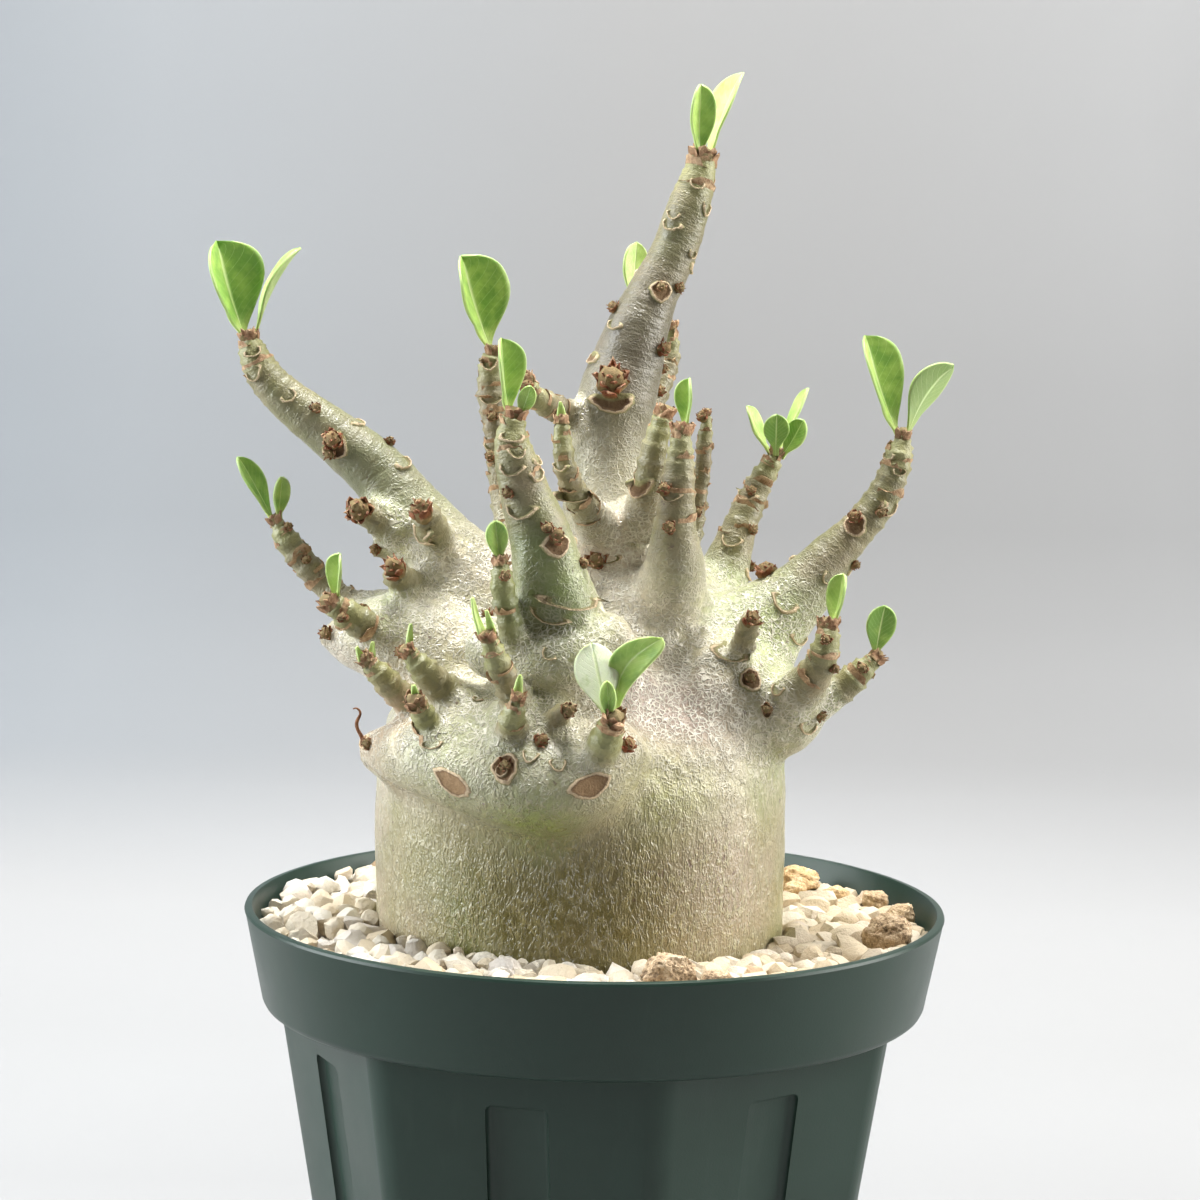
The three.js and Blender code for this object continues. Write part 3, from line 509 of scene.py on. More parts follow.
bpy.ops.mesh.primitive_uv_sphere_add(segments=72, ring_count=48, radius=1)
swelling = bpy.context.object
for vertex in swelling.data.vertices:
    x, y, z = vertex.co
    share = 1 - math.acos(max(-1, min(1, z))) / math.pi
    height = rings[0, 0] + share * (rings[-1, 0] - rings[0, 0])
    spread = math.hypot(x, y)
    if spread < 1e-6:
        x = y = 0
    else:
        x, y = x / spread, y / spread
    cx, cy, wide, deep = body_at(height)
    vertex.co = ((cx + x * wide) * MM, (cy + y * deep) * MM, height * MM)
bpy.ops.object.select_all(action="DESELECT")
tubes.select_set(True)
swelling.select_set(True)
bpy.context.view_layer.objects.active = swelling
bpy.ops.object.join()
stem = bpy.context.object
stem.name = "stem_skin"
stem.data.remesh_voxel_size = skin_cell
bpy.ops.object.voxel_remesh()


def corners_of(mesh):
    flat = np.zeros(len(mesh.vertices) * 3)
    mesh.vertices.foreach_get("co", flat)
    return flat.reshape(-1, 3)


def normals_of(mesh):
    flat = np.zeros(len(mesh.vertices) * 3, np.float32)
    mesh.vertices.foreach_get("normal", flat)
    return flat.reshape(-1, 3).astype(float)


def put_corners(mesh, corners):
    mesh.vertices.foreach_set("co", corners.astype(np.float32).ravel())
    mesh.update()


def edges_of(mesh):
    flat = np.zeros(len(mesh.edges) * 2, np.int64)
    mesh.edges.foreach_get("vertices", flat)
    return flat.reshape(-1, 2)


def averaged(values, edges):
    """The mean of each corner's neighbours."""
    count = len(values)
    first, second = edges[:, 0], edges[:, 1]
    ends = np.concatenate([first, second])
    others = np.concatenate([second, first])
    share = np.maximum(np.bincount(ends, minlength=count), 1)
    if values.ndim == 1:
        return np.bincount(ends, values[others], minlength=count) / share
    return np.stack([np.bincount(ends, column[others], minlength=count) / share for column in values.T], 1)


def softened(corners, edges, turns):
    """The corners after each has gone half the way to its neighbours' mean, turn by turn."""
    for turn in range(turns):
        corners = corners + 0.5 * (averaged(corners, edges) - corners)
    return corners


def ease(value, low, high):
    """A smooth step from 0 at low to 1 at high."""
    t = np.clip((value - low) / (high - low), 0, 1)
    return t * t * (3 - 2 * t)


# fillets: only hollow corners move outwards, so the creases between limbs fill and nothing gets thinner
mesh = stem.data
edges = edges_of(mesh)
corners = softened(corners_of(mesh), edges, 5)
fillet_turns = 40
fillet_share = 0.85
# joints that stay sharp in the photograph: place in it and reach in millimetres
sharp_joints = [(543, 624, 11), (490, 608, 6), (590, 612, 7), (676, 580, 8), (640, 505, 7)]
sharpness = 0.92
filling = np.full(len(corners), fillet_share)
for across, down, reach in sharp_joints:
    ray = np.array(sight_line(across, down).normalized())
    offset = corners / MM - np.array(camera_place) / MM
    aside = np.linalg.norm(offset - (offset @ ray)[:, None] * ray, axis=1)
    filling *= 1 - sharpness * np.exp(-(aside / reach) ** 2) * (corners[:, 1] < 0)
for turn in range(fillet_turns):
    if turn % 10 == 0:
        put_corners(mesh, corners)
        normals = normals_of(mesh)
    pull = averaged(corners, edges) - corners
    rise = (pull * normals).sum(1)
    corners += (filling * np.clip(rise, 0, None))[:, None] * normals
corners = softened(corners, edges, 3)
put_corners(mesh, corners)


class Growth:
    """Where each corner of the skin lies on the limbs: the nearest limb, the way along it and around it."""

    def __init__(self, corners):
        spot = corners / MM
        names = list(routes)
        nearest = []
        samples = []
        for name in names:
            route = routes[name]
            line = route[:, :3]
            squares = (spot ** 2).sum(1)[:, None] + (line ** 2).sum(1)[None] - 2 * spot @ line.T
            away = np.sqrt(np.maximum(squares, 0))
            clear = away - route[None, :, 3]
            samples.append(clear.argmin(1))
            nearest.append(clear.min(1))
        nearest = np.array(nearest)
        height = np.clip(spot[:, 2], rings[0, 0], rings[-1, 0])
        cx, cy, wide, deep = body_at(height)
        reach = np.hypot((spot[:, 0] - cx) / wide, (spot[:, 1] - cy) / deep)
        round_body = (reach - 1) * np.minimum(wide, deep)
        round_body += np.maximum(spot[:, 2] - rings[-1, 0], 0)
        ranked = np.sort(np.vstack([nearest, round_body]), 0)
        self.limb = nearest.argmin(0)
        self.clear_of_others = np.where(nearest.min(0) <= round_body, ranked[1] - ranked[0], 0)
        self.names = names
        self.way = np.zeros(len(spot))
        self.share = np.zeros(len(spot))
        self.radius = np.ones(len(spot))
        self.local = np.zeros((len(spot), 3))
        for index, name in enumerate(names):
            mine = self.limb == index
            route = routes[name]
            pick = samples[index][mine]
            steps = np.linalg.norm(np.diff(route[:, :3], axis=0), axis=1)
            reach = np.concatenate([[0], np.cumsum(steps)])
            tangent = np.gradient(route[:, :3], axis=0)
            tangent /= np.linalg.norm(tangent, axis=1)[:, None]
            offset = spot[mine] - route[pick, :3]
            ahead = (offset * tangent[pick]).sum(1)
            across = offset - ahead[:, None] * tangent[pick]
            front = np.array((0.0, -1.0, 0.0)) - tangent[pick] * (-tangent[pick][:, 1:2])
            front /= np.linalg.norm(front, axis=1)[:, None]
            right = np.cross(tangent[pick], front)
            self.way[mine] = reach[pick] + ahead
            self.share[mine] = (reach[pick] + ahead) / reach[-1]
            self.radius[mine] = route[pick, 3]
            ahead_and_round = [(across * front).sum(1), (across * right).sum(1), self.way[mine]]
            self.local[mine] = np.stack(ahead_and_round, 1)


growth = Growth(corners)
own = ease(growth.clear_of_others, 0.4, 3.0)
twig = own * ease(-growth.radius, -5.2, -2.8)
normals = normals_of(mesh)
height = corners[:, 2] / MM

# joints of the twigs: short cups, each one widening to a lip and starting narrower in the next
joint_length = 2.6 + 0.35 * growth.radius
cup = np.mod(growth.way + 0.7 * np.sin(growth.limb * 7.1), joint_length) / joint_length
lips = (cup ** 3 - 0.25) * (0.42 + 0.08 * growth.radius)
# soft wrinkles: across the limbs, up and down on the body, lumpy on the shoulders
crosswise = np.array([noise.noise(Vector((x * 0.22, y * 0.22, s * 0.75 + limb * 9.7)))
                      for (x, y, s), limb in zip(growth.local, growth.limb)])
upright = np.array([noise.noise(Vector((x * 0.62, y * 0.62, z * 0.2))) for x, y, z in corners / MM])
lumps = np.array([noise.noise(Vector((x, y, z)) * 0.13) + 0.5 * noise.noise(Vector((x, y, z)) * 0.31)
                  for x, y, z in corners / MM])
shoulder = ease(height, 146, 160)
move = twig * lips + own * 0.13 * crosswise
move += (1 - own) * 0.1 * upright + (1 - 0.7 * own) * (0.15 + 0.55 * shoulder) * lumps
corners += (move * MM)[:, None] * normals
put_corners(mesh, corners)
growth = Growth(corners)
normals = normals_of(mesh)
own = ease(growth.clear_of_others, 0.4, 3.0)

pull = averaged(corners, edges) - corners
hollow = (pull * normals).sum(1) / skin_cell
for turn in range(14):
    hollow = averaged(hollow, edges)


def store(mesh, name, values):
    kind = "FLOAT" if values.ndim == 1 else "FLOAT_VECTOR"
    field = "value" if values.ndim == 1 else "vector"
    attribute = mesh.attributes.new(name, kind, "POINT")
    attribute.data.foreach_set(field, values.astype(np.float32).ravel())


bare_limbs = ("horn", "front_boss", "front_ledge", "under_ledge", "left_low", "right_limb", "rear_boss",
              "shoulder_ridge")
leading_limbs = [name for name in routes if "knob_" not in name and name not in bare_limbs]
from_tip = (1 - growth.share) * growth.way / np.maximum(growth.share, 0.02)


def on_limbs(names):
    return np.isin(growth.limb, [growth.names.index(name) for name in names])


store(mesh, "tip", on_limbs(leading_limbs) * own * ease(-from_tip, -9, -2))
store(mesh, "limb", own * ease(growth.share, 0.12, 0.6) * (1 - 0.85 * on_limbs(bare_limbs)))
store(mesh, "twig", own * ease(-growth.radius, -7, -3.6))
store(mesh, "hollow", ease(hollow, 0.02, 0.10))
store(mesh, "grain", growth.local * MM)
buried_foot = 112.5 * MM
kept_faces = 0.84
with editing(stem):
    bpy.ops.mesh.bisect(plane_co=(0, 0, buried_foot), plane_no=(0, 0, 1), clear_inner=True, use_fill=True)
apply_modifier(stem, "DECIMATE", ratio=kept_faces)
bpy.ops.object.shade_smooth()

bark, shader = surface("silvery_bark", IOR=1.5, Specular_IOR_Level=0.8, Sheen_Weight=0.16,
                       Sheen_Roughness=0.35, Sheen_Tint=(1, 0.96, 0.82, 1))
spot = place_on_piece(shader)


def field(shader, name, output="Fac"):
    """A value stored on the corners of the piece."""
    node = shader.id_data.nodes.new("ShaderNodeAttribute")
    node.attribute_name = name
    return node.outputs[output]


def axis_of(vector, axis):
    return wired("ShaderNodeSeparateXYZ", {0: vector}).outputs[axis]


def times(*shares):
    product = shares[0]
    for share in shares[1:]:
        product = maths("MULTIPLY", product, share)
    return product


def squiggles(vector, scale, width):
    """Fine wandering lines, drawn where a pattern passes its middle value."""
    off = maths("ABSOLUTE", plus(pattern(vector, scale, 2, 0.5), -0.5))
    return between(off, 0.35 * width, width, 1, 0)


def network(vector, scale, width):
    """A fine net of lines between small cells."""
    cells = wired("ShaderNodeTexVoronoi", {"Vector": vector, "Scale": scale}, feature="DISTANCE_TO_EDGE")
    return between(cells.outputs["Distance"], 0.3 * width, width, 1, 0)


def near_spot(centre, inner, outer, strength=1):
    """A soft round patch on the stem about a place, all in millimetres."""
    away = wired("ShaderNodeVectorMath", {0: spot, 1: Vector(centre) * MM}, operation="DISTANCE")
    return between(away.outputs["Value"], inner * MM, outer * MM, strength, 0)


limb_share = field(shader, "limb")
twig_share = field(shader, "twig")
tip_share = field(shader, "tip")
hollow_share = field(shader, "hollow")
grain = field(shader, "grain", "Vector")
wavy = pattern(spot, 110, 3)
patchy = pattern(spot, 24, 3, 0.55)
breaks = between(pattern(spot, 400, 2), 0.36, 0.54, 0.2, 1)
upright = stretched(spot, (1, 1, 0.34))
trunk_lines = maths("MAXIMUM", squiggles(upright, 640, 0.05), times(squiggles(upright, 1100, 0.08), 0.55))
drift = 2.2 * MM
warp = wired("ShaderNodeTexNoise", {"Vector": spot, "Scale": 380, "Detail": 2}).outputs["Color"]
bent = wired("ShaderNodeVectorMath", {0: warp, 1: (drift, drift, drift), 2: spot},
             operation="MULTIPLY_ADD").outputs[0]
shoulder_lines = maths("MAXIMUM", network(bent, 900, 0.17), times(network(bent, 1700, 0.2), 0.3))
up_the_body = between(plus(axis_of(spot, "Z"), times(patchy, 30 * MM)), 160 * MM, 182 * MM)
line_mix = wired("ShaderNodeMix", {0: up_the_body, 2: trunk_lines, 3: shoulder_lines})
stem_green = near_spot((-9, -45, 193), 4, 17, 0.9)
lines = times(line_mix.outputs[0], breaks, between(limb_share, 0, 1, 1, 0.1),
              between(stem_green, 0, 1, 1, 0.3))
cross_folds = pattern(stretched(grain, (0.3, 0.3, 1)), 760, 4, 0.62)
fine = pattern(spot, 2100, 2)

# the ground colours of the trunk, the shoulders and the limbs, each with its own patches, and a painted
# shade on the trunk's front
trunk = tones(patchy, (0.36, (0.235, 0.265, 0.085)), (0.5, (0.30, 0.27, 0.115)), (0.64, (0.40, 0.32, 0.21)))
trunk = layered(near_spot((27, -42, 130), 6, 26, 0.6), trunk, (0.36, 0.27, 0.185))
# painted shade: the middle of the trunk's front, between the side lights, is made a darker olive
painted_front_shade = near_spot((-5, -52, 132), 14, 42, 0.85)
trunk = layered(painted_front_shade, trunk, (0.14, 0.112, 0.022))
shoulders = tones(patchy, (0.36, (0.36, 0.405, 0.17)), (0.5, (0.54, 0.51, 0.32)),
                  (0.64, (0.65, 0.555, 0.42)))
shoulders = layered(near_spot((16, -42, 172), 10, 27, 0.9), shoulders, (0.33, 0.235, 0.185))
limb = tones(wavy, (0.34, (0.135, 0.155, 0.052)), (0.52, (0.18, 0.175, 0.078)), (0.68, (0.23, 0.19, 0.11)))
limb = layered(near_spot((4, -3, 238), 18, 46, 0.8), limb, (0.135, 0.108, 0.078))
limb = layered(near_spot((-48, -8, 212), 12, 34, 0.6), limb, (0.21, 0.22, 0.125))
twig_tone = layered(wavy, (0.18, 0.18, 0.06), (0.32, 0.24, 0.13))
trunk_flecks = times(near_spot((27, -50, 140), 13, 20), between(pattern(spot, 400, 3), 0.6, 0.64, 0, 0.95))
crust = times(near_spot((-44, -31, 166), 6, 16), between(wavy, 0.36, 0.5, 0, 0.85))
skin = layered(up_the_body, trunk, shoulders)
for share, colour in (
        (near_spot((-18, -60, 158), 10, 26, 0.9), (0.37, 0.37, 0.21)),
        (limb_share, limb),
        (times(twig_share, 0.7), twig_tone),
        (times(between(cross_folds, 0.52, 0.66), limb_share, 0.35), (0.13, 0.11, 0.06)),
        (times(hollow_share, between(wavy, 0.3, 0.6, 0.25, 0.75)), (0.17, 0.21, 0.06)),
        (near_spot((-12, -54, 149), 3, 12, 0.85), (0.27, 0.33, 0.06)),
        (stem_green, (0.165, 0.21, 0.055)),
        (trunk_flecks, (0.15, 0.085, 0.04)),
        # painted shade: a dark spot in the crease at the front stem's foot
        (near_spot((-10, -46, 187.5), 1.5, 8, 0.8), (0.09, 0.085, 0.035)),
        (crust, (0.44, 0.30, 0.175)),
        (near_spot((16, -50, 157), 3, 17, 0.6), (0.38, 0.40, 0.115))):
    skin = layered(share, skin, colour)

# the pale lines, the dark specks and the greener twig tips lie over the ground
line_tone = layered(up_the_body, (0.50, 0.45, 0.28), (0.86, 0.81, 0.68))
line_tone = layered(limb_share, line_tone, (0.33, 0.30, 0.18))
# the pale lines are darker too under the painted shade on the trunk's front
line_tone = layered(painted_front_shade, line_tone, (0.27, 0.225, 0.07))
skin = layered(times(lines, 0.85), skin, line_tone)
skin = layered(between(pattern(spot, 520, 2), 0.70, 0.76, 0, 0.7), skin, (0.13, 0.07, 0.045))
skin = layered(times(tip_share, 0.55), skin, (0.30, 0.31, 0.10))
feed(shader.inputs["Base Color"], skin)
dullness = plus(times(limb_share, 0.13), times(twig_share, 0.06))
feed(shader.inputs["Roughness"], plus(between(wavy, 0.3, 0.7, 0.21, 0.33), dullness))
fine_height = times(fine, between(limb_share, 0, 1, 0.35, 0.25))
fold_height = times(cross_folds, limb_share, -0.85)
line_height = times(lines, between(up_the_body, 0, 1, 0.45, 0.9))
relief(shader, plus(plus(line_height, fine_height), fold_height), 0.5 * MM)
dress(stem, bark)
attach(stem, "root")
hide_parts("stem")


# The leaf scars are raised lips of cork left by fallen leaves: a tan rim, strongest on the side towards the
# root, round a brown hollow, with a painted shadow just inside the lip. They sit in the skin and follow its
# curve.
skin_tree = BVHTree.FromObject(stem, bpy.context.evaluated_depsgraph_get())


class Seat:
    """A place on the skin: its point, its outward direction and the way the limb runs there."""

    def __init__(self, point, normal, along):
        self.point = point
        self.out = normal.normalized()
        self.along = (along - self.out * along.dot(self.out)).normalized()
        self.across = self.along.cross(self.out)


def way_at(route, pick):
    """The direction in which a route runs at one of its points."""
    low, high = max(pick - 1, 0), min(pick + 1, len(route) - 1)
    return Vector(route[high, :3] - route[low, :3]).normalized()


def limb_way(point):
    """The direction of the nearest limb at a point of the skin."""
    spot = np.array(point) / MM
    best = None
    for route in routes.values():
        clear = np.linalg.norm(route[:, :3] - spot, axis=1) - route[:, 3]
        pick = int(clear.argmin())
        if best is None or clear[pick] < best[0]:
            best = (clear[pick], way_at(route, pick))
    return best[1]


def facing(along):
    """The direction square to a line that looks most towards the viewer."""
    viewer = Vector((0, -1, 0))
    return (viewer - along * viewer.dot(along)).normalized()


def seen_at(across, down, tilt=None):
    """The seat under a point of the photograph. A tilt turns it in the picture, in degrees from upright."""
    hit = skin_tree.ray_cast(camera_place, sight_line(across, down))
    if hit[0] is None:
        return None
    if tilt is None:
        return Seat(hit[0], hit[1], limb_way(hit[0]))
    lean = math.radians(tilt)
    return Seat(hit[0], hit[1], Vector((math.sin(lean), 0, math.cos(lean))))


def round_limb(name, share, degrees):
    """The seat at a share of a limb's length, so many degrees round from the viewer's side."""
    route = routes[name]
    pick = int(share * (len(route) - 1))
    along = way_at(route, pick)
    out = Matrix.Rotation(-math.radians(degrees), 3, along) @ facing(along)
    centre = Vector(route[pick, :3]) * MM
    start = centre + out * (route[pick, 3] * 1.8 + 3) * MM
    hit = skin_tree.ray_cast(start, -out)
    if hit[0] is None or hit[1].dot(out) < 0.2:
        return None
    return Seat(hit[0], hit[1], along)


bpy.ops.mesh.primitive_grid_add(x_subdivisions=18, y_subdivisions=7, size=2)
scar_blank = bpy.context.object
blank_rows = [(v.co.x, v.co.y) for v in scar_blank.data.vertices]
blank_faces = [tuple(p.vertices) for p in scar_blank.data.polygons]
bpy.data.objects.remove(scar_blank)

scar_corners, scar_faces, scar_depths, scar_tones, scar_fades, scar_fills = [], [], [], [], [], []
dice = random.Random(77)
sheet_reach = 1.06
ridge_place, ridge_width = 0.86, 0.14


def add_scar(seat, width, height, lip, tone, whole=False):
    """One scar: a polar sheet on the skin with a raised lip, open towards the tip unless it is whole."""
    if seat is None:
        return
    base = len(scar_corners)
    wobble = dice.uniform(0, 6.28)
    filled = whole or tone < 0.15
    for u, v in blank_rows:
        angle = math.pi * (u + 1)
        reach = (v + 1) / 2 * sheet_reach
        side = 1 + 0.08 * math.sin(3 * angle + wobble) + 0.05 * math.sin(7 * angle + 2 * wobble)
        x = math.cos(angle) * reach * side * width / 2
        y = math.sin(angle) * reach * side * height / 2
        if whole:
            y *= 1 - 0.3 * abs(math.cos(angle)) ** 3
        else:
            y += 0.22 * height * (math.cos(angle) ** 2) * reach
        start = seat.point + (seat.across * x + seat.along * y + seat.out * 3.5) * MM
        hit = skin_tree.ray_cast(start, -seat.out, 8 * MM)
        ground = hit[0] if hit[0] is not None else seat.point + (seat.across * x + seat.along * y) * MM
        upper = max(0.0, math.sin(angle))
        opened = 0.35 if whole else 1.0
        ridge = math.exp(-((reach - ridge_place) / ridge_width) ** 2)
        ridge *= (1 - opened * upper ** 0.6) * lip * 1.2
        bowl = -0.06 * (1 - min(1, reach / 0.7) ** 2)
        edge = -0.4 * max(0.0, (reach - 0.97) / 0.09)
        if not filled:
            bowl = -0.5 * max(0.0, 1 - reach / 0.68) ** 0.5 - 0.3 * max(0.0, upper - 0.1)
        scar_corners.append(tuple(ground + seat.out * (0.14 + ridge + bowl + edge) * MM))
        scar_depths.append(reach)
        scar_tones.append(tone)
        scar_fades.append(0 if whole else upper ** 0.5 * min(1, 0.35 + reach))
        scar_fills.append(1.0 if filled else 0.0)
    scar_faces.extend(tuple(base + i for i in face) for face in blank_faces)


# seen in the photograph: place in it, width and height in millimetres, tilt, lip, tone of the hollow
seen_scars = [
    (612, 403, 9.8, 4.4, 0, 0.9, 0.1), (614, 325, 4.4, 2.4, 15, 0.5, 0.3),
    (671, 225, 5.0, 2.6, 18, 0.5, 0.3), (673, 215, 3.6, 2.0, 18, 0.4, 0.3),
    (706, 209, 3.0, 3.2, 20, 0.5, 0.2), (675, 184, 3.4, 2.2, 20, 0.5, 0.3),
    (697, 184, 3.6, 2.4, 20, 0.5, 0.3), (692, 254, 2.4, 2.2, 20, 0.5, 0.3),
    (253, 352, 4.0, 2.4, -25, 0.5, 0.2), (254, 374, 4.4, 3.0, -35, 0.5, 0.3),
    (289, 396, 3.8, 2.8, -45, 0.5, 0.4), (259, 399, 2.2, 2.0, -40, 0.5, 0.2),
    (404, 463, 5.4, 3.2, -40, 0.6, 0.3), (336, 448, 6.0, 5.0, -45, 0.6, 0.1),
    (418, 534, 9.4, 4.2, 15, 0.7, 0.3), (489, 364, 4.2, 3.0, 0, 0.5, 0.4),
    (491, 400, 5.6, 2.0, 0, 0.5, 0.4), (491, 446, 4.0, 2.4, 0, 0.6, 0.4), (512, 437, 5.4, 2.6, 5, 0.6, 0.3),
    (517, 453, 4.0, 2.2, 5, 0.6, 0.3), (511, 470, 5.6, 2.6, 0, 0.6, 0.3),
    (537, 475, 4.0, 3.0, -20, 0.6, 0.4), (520, 512, 7.0, 3.0, 0, 0.7, 0.4),
    (562, 468, 4.6, 1.8, 0, 0.5, 0.5), (572, 497, 8.2, 2.6, 0, 0.6, 0.4),
    (640, 488, 7.4, 3.8, -15, 0.9, 0.1), (670, 497, 5.0, 1.8, 0, 0.4, 0.5),
    (745, 495, 5.4, 2.4, 15, 0.5, 0.5), (731, 541, 5.0, 2.8, 10, 0.5, 0.5),
    (888, 456, 4.0, 1.8, 5, 0.5, 0.4), (899, 472, 3.0, 1.8, 5, 0.5, 0.3),
    (874, 476, 2.8, 2.0, 10, 0.5, 0.3), (889, 508, 4.4, 4.0, 25, 0.5, 0.4),
    (828, 579, 3.6, 2.4, 50, 0.5, 0.4), (784, 604, 6.6, 3.6, 30, 0.5, 0.4),
    (530, 757, 3.6, 3.0, 10, 0.5, 0.4), (558, 765, 3.6, 3.0, 0, 0.4, 0.4),
    (808, 728, 5.4, 3.0, 15, 0.4, 0.4), (767, 712, 2.6, 2.6, 10, 0.4, 0.1),
    (778, 690, 3.6, 2.6, 15, 0.4, 0.4), (478, 700, 2.4, 1.6, 10, 0.4, 0.4),
    (548, 655, 3.6, 2.0, 40, 0.4, 0.5), (730, 655, 9.0, 2.6, 12, 0.3, 0.6),
    (575, 604, 15.0, 3.0, 6, 0.35, 0.3), (548, 618, 9.0, 2.4, 18, 0.3, 0.3),
    (608, 560, 6.0, 1.8, -8, 0.3, 0.5), (800, 640, 7.0, 2.4, 20, 0.35, 0.5),
    (432, 745, 5.0, 2.0, -10, 0.3, 0.5), (618, 730, 5.0, 2.0, 10, 0.35, 0.4),
]
seen_rings = [
    (661, 291, 5.0, 4.6, 12, 0.6, 0.6), (557, 545, 6.4, 5.0, -15, 0.6, 0.3),
    (452, 783, 9.8, 4.8, 28, 0.2, 1.0), (590, 786, 9.4, 5.2, -18, 0.25, 0.85),
    (505, 768, 5.6, 6.6, 5, 0.6, 0.5), (750, 680, 5.2, 5.2, -30, 0.6, 0.3),
    (855, 525, 5.2, 5.2, 35, 0.6, 0.4), (365, 742, 4.4, 3.4, 50, 0.4, 0.7),
    (502, 770, 2.6, 3.4, 5, 0.5, 0.6),
]
for across, down, width, height, tilt, lip, tone in seen_scars:
    add_scar(seen_at(across, down, tilt), width, height, lip, tone)
for across, down, width, height, tilt, lip, tone in seen_rings:
    add_scar(seen_at(across, down, tilt), width, height, lip, tone, whole=True)

# on the far side of the thick limbs, scars follow one another by the golden angle
golden_angle = 137.5
front_reach = 65
stout_limb = 4.2


def radius_at(route, share):
    return float(np.interp(share, np.linspace(0, 1, len(route)), route[:, 3]))


limb_length = {name: np.linalg.norm(np.diff(route[:, :3], axis=0), axis=1).sum()
               for name, route in routes.items()}
for index, name in enumerate(leading_limbs):
    route = routes[name]
    share = 0.35
    degrees = 61 * index + 25
    while share < 0.97:
        radius = radius_at(route, share)
        front = abs((degrees + 180) % 360 - 180) < front_reach
        if radius > stout_limb and not front:
            width = min(1.2 * radius, 5.5) * dice.uniform(0.85, 1.15)
            add_scar(round_limb(name, share, degrees), width, width * 0.5, 0.5, dice.uniform(0.1, 0.5))
        share += (0.75 * radius + 1.3) / limb_length[name]
        degrees += golden_angle


def piece_from(name, corners, faces, **stored):
    """A selected piece built from lists of corners and faces, with values stored on its corners."""
    mesh = bpy.data.meshes.new(name)
    mesh.from_pydata(corners, [], faces)
    for key, values in stored.items():
        store(mesh, key, np.array(values))
    piece = bpy.data.objects.new(name, mesh)
    bpy.context.scene.collection.objects.link(piece)
    return only(piece)


scars = piece_from("leaf_scars", scar_corners, scar_faces, reach=scar_depths, tone=scar_tones,
                   fade=scar_fades, filled=scar_fills)
with editing(scars):
    bpy.ops.mesh.remove_doubles(threshold=5e-6)
bpy.ops.object.shade_smooth()

cork, shader = surface("tan_cork", Roughness=0.8, Specular_IOR_Level=0.25)
spot = place_on_piece(shader)
rough = pattern(spot, 900, 4, 0.6)
fibre = pattern(spot, 2600, 3)
reach_share = plus(field(shader, "reach"), times(plus(rough, -0.5), 0.25))
dark_core = layered(rough, (0.07, 0.038, 0.018), (0.20, 0.125, 0.062))
pale_core = layered(rough, (0.24, 0.14, 0.066), (0.47, 0.32, 0.18))
core = layered(field(shader, "tone"), dark_core, pale_core)
rim = layered(rough, (0.46, 0.34, 0.20), (0.78, 0.63, 0.44))
outer = layered(rough, (0.19, 0.185, 0.075), (0.30, 0.27, 0.14))
core = layered(field(shader, "filled"), outer, core)
# painted shadow: a dark ring just inside the raised lip
ring = layered(between(reach_share, 0.64, 0.76, 0, 0.55), core, (0.13, 0.075, 0.045))
ring = layered(between(reach_share, 0.76, 0.83), ring, rim)
ring = layered(between(reach_share, 0.94, 1.0), ring, outer)
tinted = layered(between(field(shader, "fade"), 0.3, 0.8), ring, outer)
feed(shader.inputs["Base Color"], tinted)
relief(shader, plus(rough, fibre), 0.4 * MM, 0.7)
dress(scars, cork)
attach(scars, "root")


# The dry buds are little cones of red-brown papery scales that sit above leaf scars. One is modelled
# and copied to each place, turned and sized as it grew there.
def bud_blank(scale_count, narrowing, lean, tall, climb, half_width):
    """A bud one unit wide: a mound clasped by pointed scales, each set higher and further in."""
    corners, faces, tones_of = [], [], []
    bpy.ops.mesh.primitive_uv_sphere_add(segments=10, ring_count=8, radius=0.47)
    core = bpy.context.object
    for vertex in core.data.vertices:
        corners.append((vertex.co.x, vertex.co.y, vertex.co.z * (0.9 + climb) + 0.12))
        tones_of.append(0.0)
    faces.extend(tuple(p.vertices) for p in core.data.polygons)
    bpy.data.objects.remove(core)
    for i in range(scale_count):
        turn = math.radians(golden_angle * i)
        level = i / scale_count
        foot = 0.5 - narrowing * level
        base = len(corners)
        for row in range(5):
            up = row / 4
            half = half_width * (1 - up ** 2) ** 0.7 * (1 - 0.3 * level)
            for column in (-1, -0.35, 0.35, 1):
                angle = turn + column * half / max(foot, 0.12)
                out = foot + lean * (up * up - 0.6 * level * up) + 0.04 * (1 - column * column)
                lift = -0.12 + climb * level + up * tall
                for depth in (0, -0.05):
                    corners.append(((out + depth) * math.cos(angle), (out + depth) * math.sin(angle), lift))
                    tones_of.append(up)
        for row in range(4):
            for column in range(3):
                a = base + (row * 4 + column) * 2
                b, c, d = a + 2, a + 10, a + 8
                faces.append((a, b, c, d))
                faces.append((a + 1, d + 1, c + 1, b + 1))
            left = base + row * 8
            right = left + 6
            faces.append((left, left + 8, left + 9, left + 1))
            faces.append((right, right + 1, right + 9, right + 8))
        for a in range(base + 32, base + 38, 2):
            faces.append((a, a + 2, a + 3, a + 1))
    return corners, faces, tones_of


closed_bud = bud_blank(14, 0.34, 0.16, 0.5, 0.4, 0.27)
tip_crown = bud_blank(8, 0.16, 0.1, 0.66, 0.15, 0.34)
all_corners, all_faces, all_tones, all_reds, all_papers = [], [], [], [], []


